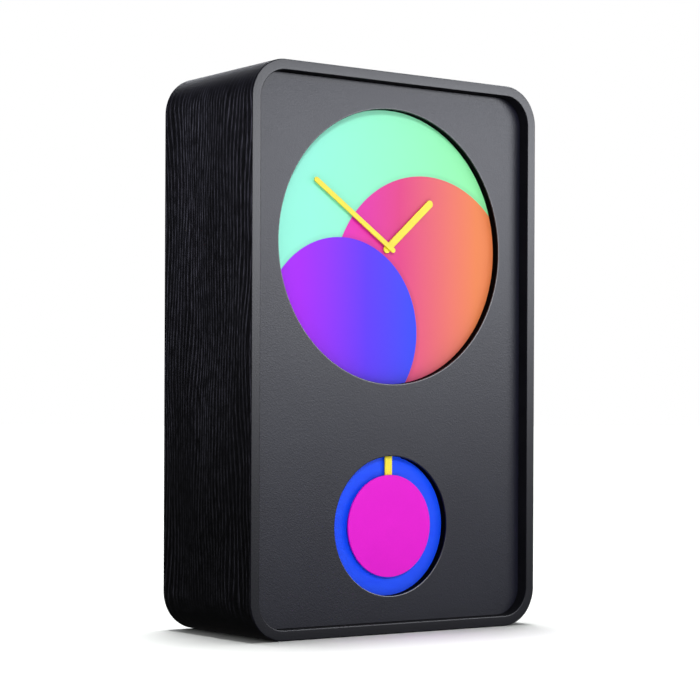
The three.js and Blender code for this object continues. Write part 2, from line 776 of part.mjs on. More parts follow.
function centreWheel() {
  const bore = minuteArborRadius + runningGap / 2;
  const geometry = openWheel(
    centreWheelTeeth, centreModule, centreWheelPhase, centreWheelLevel, handAxis, bore);
  return piece('centre_wheel', geometry, whiteNylon);
}

// An arbor runs from a front bearing to its boss on the cover and ends in two thin pivots.
function trainArbor(place, front, back) {
  return [
    bar(arborRadius, front + glueLine, back - glueLine, place, pivotSteps),
    bar(pivotRadius, front - pivotLength, back + pivotLength, place, pivotSteps),
  ];
}

function thirdWheel() {
  const wheel = openWheel(
    thirdWheelTeeth, thirdModule, thirdWheelPhase, thirdWheelLevel, thirdWheelPlace, 0);
  const pinion = gear(thirdPinionTeeth, centreModule, thirdPinionPhase, thirdPinionLevel,
    pinionFace, thirdWheelPlace);
  const arbor = trainArbor(thirdWheelPlace, housingWall, bossFront);
  return piece('third_wheel', joined(wheel, pinion, ...arbor), whiteNylon);
}

function secondWheel() {
  const wheel = openWheel(
    secondWheelTeeth, fifthModule, secondWheelPhase, secondWheelLevel, handAxis, 0);
  const pinion = gear(secondPinionTeeth, thirdModule, secondPinionPhase, secondPinionLevel,
    pinionFace);
  const arbor = trainArbor(handAxis, middlePlateBack, bossFront);
  return piece('second_wheel', joined(wheel, pinion, ...arbor), whiteNylon);
}

function fifthWheel() {
  const wheel = gear(fifthWheelTeeth, rotorModule, fifthWheelPhase, fifthWheelLevel,
    wheelThickness, fifthWheelPlace);
  const pinion = gear(fifthPinionTeeth, fifthModule, fifthPinionPhase, fifthPinionLevel,
    pinionFace, fifthWheelPlace);
  const arbor = trainArbor(fifthWheelPlace, middlePlateBack, bossFront);
  return piece('fifth_wheel', joined(wheel, pinion, ...arbor), whiteNylon);
}

function rotorPinion() {
  const pinion = gear(rotorPinionTeeth, rotorModule, rotorPinionPhase, rotorPinionLevel,
    pinionFace, rotorPlace);
  const arbor = trainArbor(rotorPlace, middlePlateBack, bossFront);
  return piece('rotor_pinion', joined(pinion, ...arbor), whiteNylon);
}

function rotorMagnet() {
  const back = rotorMagnetLevel + rotorMagnetLength;
  const geometry = ring(rotorMagnetRadius, arborRadius + glueLine, rotorMagnetLevel, back,
    rotorPlace, smallSteps);
  return piece('rotor_magnet', geometry, magnetSteel);
}

// The stator wraps the rotor below and carries the coil on its upper bar.
const statorLeft = fifthWheelPlace.x - 2 * arborRadius - coilCoreRadius;
const statorRight = housingInnerHalfWidth - coilEndGap;
const coilLength = statorRight - statorLeft - 4 * coilCoreRadius;
const coilHeight = trainRoomAbove - coilFlangeRadius - 2 * runningGap;
const statorRotorHole = rotorMagnetRadius + runningGap;
const statorCentreX = (statorLeft + statorRight) / 2;
const statorBottom = rotorPlace.z - statorRotorHole - coilCoreRadius;
const statorMiddle = rotorPlace.z + statorRotorHole + coilCoreRadius;
const coreHalf = coilCoreRadius * Math.SQRT1_2 - glueLine;

function stator() {
  const shape = new THREE.Shape();
  shape.moveTo(statorLeft, statorBottom);
  shape.lineTo(statorRight, statorBottom);
  shape.lineTo(statorRight, coilHeight + coreHalf);
  shape.lineTo(statorLeft, coilHeight + coreHalf);
  shape.closePath();
  const gap = new THREE.Path();
  gap.moveTo(statorLeft + 2 * coreHalf, statorMiddle);
  gap.lineTo(statorLeft + 2 * coreHalf, coilHeight - coreHalf);
  gap.lineTo(statorRight - 2 * coreHalf, coilHeight - coreHalf);
  gap.lineTo(statorRight - 2 * coreHalf, statorMiddle);
  gap.closePath();
  shape.holes.push(gap);
  shape.holes.push(circleHole(rotorPlace.x, rotorPlace.z, statorRotorHole));
  shape.holes.push(circleHole(fifthWheelPlace.x, fifthWheelPlace.z, 2 * arborRadius));
  const geometry = plate(shape, statorThickness, { steps: pivotSteps });
  geometry.translate(0, statorLevel, 0);
  return piece('stator', geometry, magnetSteel);
}

// Round forms along X around the stator's upper bar
function sideways(geometry, x) {
  geometry.rotateZ(Math.PI / 2);
  geometry.translate(x, statorLevel + statorThickness / 2, coilHeight);
  return geometry;
}

function coilBobbin() {
  const half = coilLength / 2;
  const profile = [
    new THREE.Vector2(coilCoreRadius, -half),
    new THREE.Vector2(coilFlangeRadius, -half),
    new THREE.Vector2(coilFlangeRadius, bobbinWall - half),
    new THREE.Vector2(coilCoreRadius + bobbinWall, bobbinWall - half),
    new THREE.Vector2(coilCoreRadius + bobbinWall, half - bobbinWall),
    new THREE.Vector2(coilFlangeRadius, half - bobbinWall),
    new THREE.Vector2(coilFlangeRadius, half),
    new THREE.Vector2(coilCoreRadius, half),
    new THREE.Vector2(coilCoreRadius, -half),
  ];
  const geometry = sideways(new THREE.LatheGeometry(profile, smallSteps), statorCentreX);
  return piece('coil_bobbin', geometry, blackPlastic);
}

function motorCoil() {
  const half = coilLength / 2 - bobbinWall - glueLine;
  const inner = coilCoreRadius + bobbinWall + glueLine;
  const geometry = sideways(ring(coilWindingRadius, inner, -half, half), statorCentreX);
  return piece('motor_coil', geometry, copperWire);
}

const circuitLeft = -housingInnerHalfWidth + 2 * runningGap;
const circuitRight = thirdWheelPlace.x - thirdWheelRadius - circuitWheelGap;
const circuitWidth = circuitRight - circuitLeft;
const circuitBottom = trainRoomBottom + 2 * mountingPostRadius + runningGap;
const circuitHeight = trainRoomAbove - 2 * mountingPostRadius - runningGap - circuitBottom;

function circuitBoard() {
  const board = block(circuitWidth / 2, circuitLevel, circuitLevel + circuitThickness,
    circuitBottom, circuitBottom + circuitHeight, circuitLeft + circuitWidth / 2);
  const chipHalf = circuitWidth / 5;
  const chipZ = circuitBottom + circuitHeight / 3;
  const chip = new THREE.SphereGeometry(chipHalf, smallSteps, pivotSteps);
  chip.scale(1, 1 / 3, 1);
  chip.translate(circuitLeft + circuitWidth / 2, circuitLevel + circuitThickness, chipZ);
  return piece('circuit_board', joined(board, chip), circuitResin);
}

function crystal() {
  const geometry = new THREE.CylinderGeometry(
    crystalRadius, crystalRadius, crystalLength, smallSteps);
  geometry.rotateX(Math.PI / 2);
  const y = circuitLevel + circuitThickness + crystalRadius + glueLine;
  const z = circuitBottom + circuitHeight * crystalPlaceShare;
  geometry.translate(circuitLeft + circuitWidth / 2, y, z);
  return piece('quartz_crystal', geometry, zincSteel);
}

// Housing

const postPlaces = [
  { x: -1, z: 1 }, { x: 1, z: 1 }, { x: -1, z: -1 }, { x: 1, z: -1 },
].map((corner) => ({
  x: corner.x * (housingInnerHalfWidth - mountingPostRadius / 2),
  z: corner.z > 0
    ? trainRoomAbove - mountingPostRadius / 2 : trainRoomBottom + mountingPostRadius / 2,
}));

function room(top, bottom) {
  return block(housingInnerHalfWidth, housingWall, housingDepth + cutOverrun, bottom, top);
}

function armSlotHalfWidth() {
  const drop = pivotHeight - housingBottom;
  return drop * Math.tan(radians(pendulumSwing)) + hangerWidth / 2 + runningGap;
}

const armFront = batteryDepth + fitClearance;
const armBack = armFront + hangerThickness;

// The arm and its forward run leave through one slot in the floor of the pendulum room.
function armSlot() {
  return block(armSlotHalfWidth(), armFront - 2 * runningGap, armBack + 2 * runningGap,
    housingBottom - cutOverrun, pendulumRoomBottom + cutOverrun);
}

function movementHousing() {
  const outline = roundedOutline(
    new THREE.Shape(), housingHalfWidth, housingTop, housingBottom, housingCornerRadius);
  const hollow = cutBy(plate(outline, trayDepth, { steps: smallSteps / 4 }), [
    room(trainRoomAbove, trainRoomBottom),
    room(batteryRoomTop, batteryRoomBottom),
    room(pendulumRoomTop, pendulumRoomBottom),
    armSlot(),
  ]);
  const bush = bar(bushDiameter / 2, -bushLength, housingWall / 2, handAxis, roundSteps);
  const posts = postPlaces.map((place) => bar(
    mountingPostRadius, housingWall / 2, middlePlateFront - glueLine, place));
  const pivotPost = bar(2 * pivotPinRadius, housingWall / 2, armFront - runningGap,
    { x: 0, z: pivotHeight });
  const coilSeat = bar(pendulumCoilBore - runningGap, housingWall / 2,
    pendulumCoilBack, magnetPlace);
  const body = joined(hollow, bush, ...posts, pivotPost, coilSeat);
  const geometry = cutBy(body, [
    bar(bushBore / 2, -bushLength - cutOverrun, housingWall + cutOverrun, handAxis, roundSteps),
    bar(pivotHoleRadius, -cutOverrun, housingWall + cutOverrun, minuteWheelPlace, pivotSteps),
    bar(pivotHoleRadius, -cutOverrun, housingWall + cutOverrun, settingPlace, pivotSteps),
    bar(pivotHoleRadius, -cutOverrun, housingWall + cutOverrun, thirdWheelPlace, pivotSteps),
    bar(pivotPinRadius + glueLine, housingWall + cutOverrun, housingDepth,
      { x: 0, z: pivotHeight }),
  ]);
  return piece('movement_housing', geometry, blackPlastic);
}

function middlePlate() {
  const halfWidth = housingInnerHalfWidth - fitClearance;
  const shape = roundedOutline(new THREE.Shape(), halfWidth, trainRoomAbove - fitClearance,
    trainRoomBottom + fitClearance, fitClearance);
  const pivots = [handAxis, minuteWheelPlace, fifthWheelPlace, rotorPlace];
  for (const place of pivots) shape.holes.push(circleHole(place.x, place.z, pivotHoleRadius));
  shape.holes.push(circleHole(thirdWheelPlace.x, thirdWheelPlace.z, arborRadius + runningGap));
  shape.holes.push(circleHole(settingPlace.x, settingPlace.z, settingShaftRadius + runningGap));
  const base = plate(shape, middlePlateThickness, { steps: pivotSteps });
  base.translate(0, middlePlateFront, 0);
  const legX = [statorLeft + coreHalf, statorRight - coreHalf];
  const statorPosts = legX.map((x) => bar(coreHalf, middlePlateBack - middlePlateThickness / 2,
    statorLevel - glueLine, { x, z: statorMiddle + coilFlangeRadius / 2 }, pivotSteps));
  const circuitPosts = circuitPostShares.map((share) => bar(
    crystalRadius, middlePlateBack - middlePlateThickness / 2, circuitLevel - glueLine,
    { x: circuitLeft + circuitWidth / 2, z: circuitBottom + circuitHeight * share }, pivotSteps));
  return piece('middle_plate', joined(base, ...statorPosts, ...circuitPosts), whiteNylon);
}

function movementCover() {
  const shape = roundedOutline(
    new THREE.Shape(), housingHalfWidth, housingTop, housingBottom, housingCornerRadius);
  const bay = new THREE.Path();
  bay.moveTo(-housingInnerHalfWidth, batteryRoomBottom);
  bay.lineTo(-housingInnerHalfWidth, batteryRoomTop);
  bay.lineTo(housingInnerHalfWidth, batteryRoomTop);
  bay.lineTo(housingInnerHalfWidth, batteryRoomBottom);
  bay.closePath();
  shape.holes.push(bay);
  const sheet = plate(shape, housingWall, { steps: smallSteps / 4 });
  sheet.translate(0, coverFront, 0);
  const rear = housingDepth - housingWall / 2;
  const bosses = [handAxis, thirdWheelPlace, fifthWheelPlace, rotorPlace]
    .map((place) => bar(bossRadius, bossFront, rear, place, smallSteps));
  const pinBoss = bar(2 * pivotPinRadius, bossFront, rear, { x: 0, z: pivotHeight });
  const geometry = cutBy(joined(sheet, ...bosses, pinBoss), [
    ...[handAxis, thirdWheelPlace, fifthWheelPlace, rotorPlace].map((place) => bar(
      pivotHoleRadius, bossFront - cutOverrun, coverFront, place, pivotSteps)),
    bar(settingShaftRadius + runningGap, coverFront - cutOverrun, housingDepth + cutOverrun,
      settingPlace),
    bar(pivotPinRadius + glueLine, 0, coverFront, { x: 0, z: pivotHeight }),
  ]);
  return piece('movement_cover', geometry, blackPlastic);
}

function rubberWasher() {
  const from = -glueLine - rubberWasherThickness;
  const geometry = ring(rubberWasherDiameter / 2, bushDiameter / 2 + fitClearance, from, -glueLine);
  return piece('rubber_washer', geometry, blackRubber);
}

const carrierFrontFromHousing = carrierFront - movementFront;
const washerBack = carrierFrontFromHousing - glueLine;
const washerFront = washerBack - brassWasherThickness;
const nutBack = washerFront - glueLine;
const nutFront = nutBack - nutThickness;
const bushLength = bushThreadReach - nutFront;

function brassWasher() {
  const geometry = ring(
    brassWasherDiameter / 2, bushDiameter / 2 + fitClearance, washerFront, washerBack);
  return piece('brass_washer', geometry, brassMetal);
}

function hexNut() {
  const corner = nutAcrossFlats / Math.sqrt(3);
  const prism = bar(corner, nutFront, nutBack, handAxis, 6);
  const dome = new THREE.CylinderGeometry(corner, corner - nutThickness / 3, nutThickness, roundSteps);
  dome.translate(0, (nutFront + nutBack) / 2, 0);
  const body = toGeometry(toSolid(prism).intersect(toSolid(dome)));
  const bore = bar(bushDiameter / 2 + glueLine, nutFront - cutOverrun, nutBack + cutOverrun,
    handAxis, roundSteps);
  return piece('hex_nut', cutBy(body, [bore]), brassMetal);
}

// Battery and contacts; the battery lies across the housing, button to the right

function battery() {
  const radius = batteryDiameter / 2;
  const edge = batteryButtonLength / 2;
  const end = batteryLength / 2;
  const shoulder = end - batteryButtonLength;
  const profile = [
    new THREE.Vector2(0, -end),
    new THREE.Vector2(radius - edge, -end),
    new THREE.Vector2(radius, edge - end),
    new THREE.Vector2(radius, shoulder - edge),
    new THREE.Vector2(radius - edge, shoulder),
    new THREE.Vector2(batteryButtonDiameter / 2, shoulder),
    new THREE.Vector2(batteryButtonDiameter / 2, end),
    new THREE.Vector2(0, end),
  ];
  const geometry = new THREE.LatheGeometry(profile, roundSteps);
  geometry.rotateZ(-Math.PI / 2);
  return piece('battery', geometry, batterySleeve, { y: batteryDepth, z: batteryHeight });
}

function contactPlate() {
  const outer = housingInnerHalfWidth - glueLine;
  const middle = outer - contactThickness / 2;
  const geometry = block(contactThickness / 2, housingWall + glueLine, coverFront,
    batteryHeight - contactHeight / 2, batteryHeight + contactHeight / 2, middle);
  return piece('battery_contact_positive', geometry, zincSteel);
}

// Bent leaf that presses on the battery's flat end: a flat foot and a bowed tongue
function contactLeaf() {
  const outer = -housingInnerHalfWidth + glueLine;
  const crest = -batteryLength / 2 - fitClearance;
  const from = housingWall + glueLine;
  const to = coverFront;
  const middle = (from + to) / 2;
  const shape = new THREE.Shape();
  shape.moveTo(outer, from);
  shape.lineTo(outer + contactThickness, from);
  shape.quadraticCurveTo(2 * crest - outer - contactThickness, middle, outer + contactThickness, to);
  shape.lineTo(outer, to);
  shape.quadraticCurveTo(2 * (crest - contactThickness) - outer, middle, outer, from);
  const geometry = new THREE.ExtrudeGeometry(shape, {
    depth: contactHeight, bevelEnabled: false, curveSegments: cornerSteps,
  });
  geometry.translate(0, 0, batteryHeight - contactHeight / 2);
  return piece('battery_contact_negative', geometry, zincSteel);
}

// Pendulum drive

const magnetBack = armFront - glueLine;
const magnetFront = magnetBack - pendulumMagnetLength;
const pendulumCoilBack = magnetFront - 2 * runningGap;
const magnetPlace = { x: 0, z: pendulumRoomBottom + coilFloorGap + pendulumCoilRadius };

// A collar on the pin keeps the arm from sliding back.
function pendulumPin() {
  const place = { x: 0, z: pivotHeight };
  const pin = bar(
    pivotPinRadius, housingWall + cutOverrun + glueLine, coverFront - glueLine, place);
  const collar = bar(2 * pivotPinRadius, armBack + runningGap, bossFront - runningGap, place);
  return piece('pendulum_pin', joined(pin, collar), zincSteel);
}

function pendulumCoil() {
  const geometry = ring(pendulumCoilRadius, pendulumCoilBore, housingWall + glueLine,
    pendulumCoilBack, magnetPlace);
  return piece('pendulum_coil', geometry, copperWire);
}

function pendulumMagnet() {
  const geometry = bar(pendulumMagnetRadius, magnetFront, magnetBack, magnetPlace, roundSteps);
  return piece('pendulum_magnet', geometry, magnetSteel);
}

// Flat arm on the pivot pin whose foot runs forward under the housing to a notched hook
function pendulumHanger() {
  const hookZ = hookHeight - dialCentreHeight;
  const eyeTop = hookZ + rodEyeHoleRadius - fitClearance;
  const hookTop = eyeTop + hangerNotchDepth - fitClearance;
  const hookBottom = hookTop - hangerHookHeight;
  const arm = plate(hangerOutline(hookBottom), hangerThickness, { steps: pivotSteps });
  arm.translate(0, armFront, 0);
  const notchFront = rodFront - movementFront - fitClearance;
  const notchBack = rodBack - movementFront + fitClearance;
  const tip = reliefFloor - movementFront + fitClearance;
  const hook = block(hangerWidth / 4, tip, armFront + hangerThickness / 2, hookBottom, hookTop);
  const notch = block(hangerWidth, notchFront, notchBack, hookTop - hangerNotchDepth,
    hookTop + cutOverrun);
  return piece('pendulum_hanger', joined(arm, cutBy(hook, [notch])), zincSteel);
}

function hangerOutline(bottom) {
  const half = hangerWidth / 2;
  const shape = new THREE.Shape();
  const neck = Math.asin(half / hangerEyeRadius);
  shape.moveTo(-half, bottom);
  shape.lineTo(half, bottom);
  shape.absarc(0, pivotHeight, hangerEyeRadius, neck - Math.PI / 2, 1.5 * Math.PI - neck);
  shape.closePath();
  shape.holes.push(circleHole(0, pivotHeight, pivotPinRadius + runningGap));
  return shape;
}

function pendulumRod() {
  const half = rodWidth / 2;
  const neck = Math.asin(half / rodEyeRadius);
  const shape = new THREE.Shape();
  shape.moveTo(half, windowCentreHeight);
  shape.lineTo(half, hookHeight - rodEyeRadius * Math.cos(neck));
  shape.absarc(0, hookHeight, rodEyeRadius, neck - Math.PI / 2, 1.5 * Math.PI - neck);
  shape.lineTo(-half, windowCentreHeight);
  shape.absarc(0, windowCentreHeight, half, Math.PI, 2 * Math.PI);
  shape.holes.push(circleHole(0, hookHeight, rodEyeHoleRadius));
  const geometry = plate(shape, rodThickness, { steps: pivotSteps });
  return piece('pendulum_rod', geometry, yellowPaint, { y: rodFront });
}

function pendulumBob() {
  const geometry = bar(bobDiameter / 2, 0, bobThickness, handAxis, openingSteps);
  return piece('pendulum_bob', geometry, magentaPaint, { y: bobFront, z: windowCentreHeight });
}

function movement() {
  const group = new THREE.Group();
  group.position.set(0, movementFront, dialCentreHeight);
  group.add(
    movementHousing(), middlePlate(), movementCover(), rubberWasher(), brassWasher(), hexNut(),
    minuteArbor(), hourWheel(), minuteWheel(), settingPinion(), settingKnob(), clutchSpring(),
    centreWheel(), thirdWheel(), secondWheel(), fifthWheel(), rotorPinion(), rotorMagnet(),
    stator(), coilBobbin(), motorCoil(), circuitBoard(), crystal(),
    battery(), contactPlate(), contactLeaf(),
    pendulumPin(), pendulumHanger(), pendulumMagnet(), pendulumCoil(),
  );
  return group;
}

function hands() {
  const group = new THREE.Group();
  group.position.set(0, 0, dialCentreHeight);
  group.add(minuteHand(), hourHand());
  return group;
}

const clock = new THREE.Group();
clock.position.set(0, -caseDepth / 2, 0);
clock.add(
  caseShell(), frontPanel(), dialDisc(), windowDisc(), ...battens(), carrierBoard(), backBoard(),
  ...screwSet('back_board_screw', backBoardScrewPlaces, backBoardFront + backBoardThickness),
  hands(), movement(), pendulumRod(), pendulumBob(),
);

export default clock;
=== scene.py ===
"""Looks of the pendulum desk clock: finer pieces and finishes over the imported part."""

import json
import math

import bmesh
import bpy
from mathutils import Matrix, Vector


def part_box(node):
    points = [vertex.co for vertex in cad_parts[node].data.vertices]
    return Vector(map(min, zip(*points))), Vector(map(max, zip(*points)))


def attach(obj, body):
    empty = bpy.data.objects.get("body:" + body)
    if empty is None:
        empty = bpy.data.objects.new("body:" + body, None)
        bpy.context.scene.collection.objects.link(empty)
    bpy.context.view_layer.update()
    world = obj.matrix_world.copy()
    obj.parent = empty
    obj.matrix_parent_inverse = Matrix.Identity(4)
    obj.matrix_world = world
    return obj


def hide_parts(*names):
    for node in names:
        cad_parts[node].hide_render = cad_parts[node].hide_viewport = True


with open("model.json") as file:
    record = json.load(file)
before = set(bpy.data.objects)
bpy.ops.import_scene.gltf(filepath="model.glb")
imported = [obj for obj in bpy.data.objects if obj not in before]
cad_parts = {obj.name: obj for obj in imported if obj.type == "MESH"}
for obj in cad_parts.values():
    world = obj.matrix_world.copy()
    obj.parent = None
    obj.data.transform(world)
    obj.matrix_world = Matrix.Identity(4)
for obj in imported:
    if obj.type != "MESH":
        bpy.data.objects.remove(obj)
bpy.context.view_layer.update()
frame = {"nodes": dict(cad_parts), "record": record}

MM = 0.001
X, Y, Z = 0, 1, 2
# Two places closer than this count as one
TOUCH = 0.001 * MM
# How far a cutting shape sticks out of what it cuts, and a joined one into what it joins
CLEAR = 1 * MM


# Places read from the frame


def corners(node):
    """Lowest and highest corner of a node of the frame."""
    low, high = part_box(node)
    return Vector(low), Vector(high)


def middle_of(node):
    low, high = corners(node)
    return (low + high) / 2


CASE_LOW, CASE_HIGH = corners("case_shell")
CASE_MIDDLE = middle_of("case_shell")
DIAL_CENTRE = middle_of("dial_disc")
DIAL_FRONT = corners("dial_disc")[0].y
WINDOW_CENTRE = middle_of("window_disc")
WINDOW_FRONT = corners("window_disc")[0].y

# Sizes that no box gives, as in the part's source
CASE_WALL = 5.6 * MM
CASE_RADIUS = 21 * MM
BOARD_RADIUS = 15.1 * MM
PANEL_BACK = CASE_LOW.y + 11.3 * MM
DIAL_OPENING_RADIUS = 73.75 * MM
WINDOW_OPENING_RADIUS = 37.5 * MM
# How far the raised marks stand out of the movement's cover
MARK_HEIGHT = 0.5 * MM


# Modelling helpers


def only(obj):
    """Selects one object and nothing else."""
    bpy.ops.object.select_all(action="DESELECT")
    obj.select_set(True)
    bpy.context.view_layer.objects.active = obj


def settle(obj, name):
    """Names an object and puts its place, turn and size into its mesh."""
    obj.name = name
    obj.data.name = name
    only(obj)
    bpy.ops.object.transform_apply(location=True, rotation=True, scale=True)
    return obj


def add_block(name, low, high):
    """Block between two opposite corners."""
    low, high = Vector(low), Vector(high)
    bpy.ops.object.select_all(action="DESELECT")
    bpy.ops.mesh.primitive_cube_add(size=1, location=(low + high) / 2)
    block = bpy.context.object
    block.scale = high - low
    return settle(block, name)


def add_rod(name, radius, start, end, sides=64):
    """Round bar between two points on a line along one of the axes."""
    start, end = Vector(start), Vector(end)
    run = end - start
    bpy.ops.object.select_all(action="DESELECT")
    bpy.ops.mesh.primitive_cylinder_add(
        vertices=sides, radius=radius, depth=run.length, location=(start + end) / 2
    )
    rod = bpy.context.object
    rod.rotation_euler = run.to_track_quat("Z", "Y").to_euler()
    return settle(rod, name)


def at_depth(point, depth):
    """The place straight before or behind a point, at a depth of its own."""
    return Vector((point[X], depth, point[Z]))


def add_post(name, radius, point, front, back, sides=72):
    """Round bar through a point, square to the clock's front, between two depths."""
    return add_rod(name, radius, at_depth(point, front), at_depth(point, back), sides)


def pick(obj, kind, test):
    """Enters edit mode with just the faces, edges or vertices selected for which the test holds."""
    only(obj)
    bpy.ops.object.mode_set(mode="EDIT")
    bpy.ops.mesh.select_mode(type={"faces": "FACE", "edges": "EDGE", "verts": "VERT"}[kind])
    bpy.ops.mesh.select_all(action="DESELECT")
    mesh = bmesh.from_edit_mesh(obj.data)
    for element in getattr(mesh, kind):
        element.select_set(bool(test(element)))
    bmesh.update_edit_mesh(obj.data)


def leave_edit():
    bpy.ops.object.mode_set(mode="OBJECT")


def is_along(edge, axis):
    run = edge.verts[1].co - edge.verts[0].co
    return abs(run.normalized()[axis]) > 0.999


def is_across(edge, axis):
    """True where both ends of an edge are equally far along an axis."""
    first, second = edge.verts
    return abs(first.co[axis] - second.co[axis]) < TOUCH


def lies_at(edge, axis, place):
    return all(abs(end.co[axis] - place) < TOUCH for end in edge.verts)


def edge_middle(edge):
    first, second = edge.verts
    return (first.co + second.co) / 2


def round_edges(obj, test, radius, segments):
    """Rounds the edges for which the test holds."""
    pick(obj, "edges", test)
    bpy.ops.mesh.bevel(offset=radius, segments=segments, profile=0.5, affect="EDGES")
    leave_edit()


def split_faces(obj, place, facing):
    """Runs a line of edges round a piece where a plane meets it."""
    pick(obj, "faces", lambda face: True)
    bpy.ops.mesh.bisect(plane_co=place, plane_no=facing)
    leave_edit()


def ease(obj, radius):
    """Breaks every sharp edge, as a sander or a mould does."""
    only(obj)
    modifier = obj.modifiers.new("ease", "BEVEL")
    modifier.width = radius
    modifier.segments = 2
    modifier.limit_method = "ANGLE"
    modifier.angle_limit = math.radians(40)
    modifier.use_clamp_overlap = True
    bpy.ops.object.modifier_apply(modifier=modifier.name)


def carve(obj, tools, operation="DIFFERENCE"):
    """Cuts tools out of a piece, or joins them to it, and takes the tools away."""
    for tool in tools:
        only(obj)
        modifier = obj.modifiers.new("carve", "BOOLEAN")
        modifier.operation = operation
        modifier.object = tool
        modifier.solver = "EXACT"
        bpy.ops.object.modifier_apply(modifier=modifier.name)
        bpy.data.objects.remove(tool)


def soften(obj, angle=30):
    """Smooth shading over edges up to an angle in degrees, while flat faces stay flat."""
    only(obj)
    bpy.ops.object.shade_smooth_by_angle(angle=math.radians(angle))
    modifier = obj.modifiers.new("flat_faces", "WEIGHTED_NORMAL")
    modifier.keep_sharp = True
    modifier.weight = 100
    bpy.ops.object.modifier_apply(modifier=modifier.name)


def hand_over(obj, body, slot, node, *more_finishes):
    """Gives a piece its finishes, the body that it rides on and the node that it stands for."""
    for finish in (FINISHES[slot], *more_finishes):
        obj.data.materials.append(finish)
    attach(obj, body)
    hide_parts(node)


# Material helpers


def linear(hex_colour):
    """sRGB hex to linear colour with alpha."""
    parts = [int(hex_colour[i : i + 2], 16) / 255 for i in (1, 3, 5)]
    return [p / 12.92 if p <= 0.04045 else ((p + 0.055) / 1.055) ** 2.4 for p in parts] + [1.0]


def add_node(tree, kind, inputs=None, output=0, to=None, **settings):
    """Adds a node with its settings, fills or links its inputs, and gives back one output."""
    node = tree.nodes.new(kind)
    for name, value in settings.items():
        setattr(node, name, value)
    for name, value in (inputs or {}).items():
        if isinstance(value, bpy.types.NodeSocket):
            tree.links.new(value, node.inputs[name])
        else:
            node.inputs[name].default_value = value
    if to is not None:
        tree.links.new(node.outputs[output], to)
    return node.outputs[output]


def start_material(name, **constants):
    """New material whose shader has the values that are the same all over."""
    material = bpy.data.materials.new(name)
    material.use_nodes = True
    shader = material.node_tree.nodes["Principled BSDF"]
    for socket, value in constants.items():
        shader.inputs[socket.replace("_", " ")].default_value = value
    return material, material.node_tree, shader.inputs


def millimetres(tree, centre=(0, 0, 0), size=(1, 1, 1)):
    """Object coordinates in millimetres from a centre, divided by the size of a feature."""
    place = add_node(tree, "ShaderNodeTexCoord", output="Object")
    scale = tuple(1 / (MM * length) for length in size)
    place = add_node(
        tree, "ShaderNodeVectorMath", {0: place, 1: tuple(centre)}, operation="SUBTRACT"
    )
    return add_node(tree, "ShaderNodeVectorMath", {0: place, 1: scale}, operation="MULTIPLY")


def unevenness(tree, size, stretch=(1, 1, 1), detail=2.0):
    """Soft random pattern with features of a size in millimetres, stretched along the axes."""
    place = millimetres(tree, size=[size * share for share in stretch])
    return add_node(
        tree, "ShaderNodeTexNoise", {"Vector": place, "Scale": 1.0, "Detail": detail}
    )


def colour_between(tree, value, start, end, first, second):
    """Colour that goes from the first to the second while a value goes from start to end."""
    share = add_node(
        tree, "ShaderNodeMapRange", {"Value": value, "From Min": start, "From Max": end}
    )
    return add_node(
        tree, "ShaderNodeMix", {0: share, 6: first, 7: second}, 2, data_type="RGBA"
    )


def darkened(tree, colour, value, start, end, least):
    """Colour at its least share of light where a value is at start, and at its full from end."""
    share = add_node(
        tree,
        "ShaderNodeMapRange",
        {"Value": value, "From Min": start, "From Max": end, "To Min": least},
    )
    return add_node(
        tree, "ShaderNodeVectorMath", {0: colour, "Scale": share}, operation="SCALE"
    )


def grained(name, shade, other, roughness, grain, relief, stretch=(1, 1, 1), **constants):
    """Finish that wavers between two shades, with a grain of a size in millimetres in its skin."""
    cloud, gloss_change, grain_depth = 14, 0.06, grain * 0.25 * MM
    material, tree, sockets = start_material(name, **constants)
    fine = unevenness(tree, grain, stretch, 3.0)
    broad = unevenness(tree, cloud, stretch)
    # Most of the fine pattern, and most of its product with the broad one, lies between these
    fine_low, fine_high = 0.2, 0.8
    low, high = 0.12, 0.42
    share = add_node(tree, "ShaderNodeMath", {0: fine, 1: broad}, operation="MULTIPLY")
    colour = colour_between(tree, share, low, high, linear(shade), linear(other))
    tree.links.new(colour, sockets["Base Color"])
    add_node(
        tree,
        "ShaderNodeMapRange",
        {
            "Value": fine,
            "From Min": fine_low,
            "From Max": fine_high,
            "To Min": roughness - gloss_change,
            "To Max": roughness + gloss_change,
        },
        to=sockets["Roughness"],
    )
    add_node(
        tree,
        "ShaderNodeBump",
        {"Height": fine, "Strength": relief, "Distance": grain_depth},
        to=sockets["Normal"],
    )
    return material


# Finishes


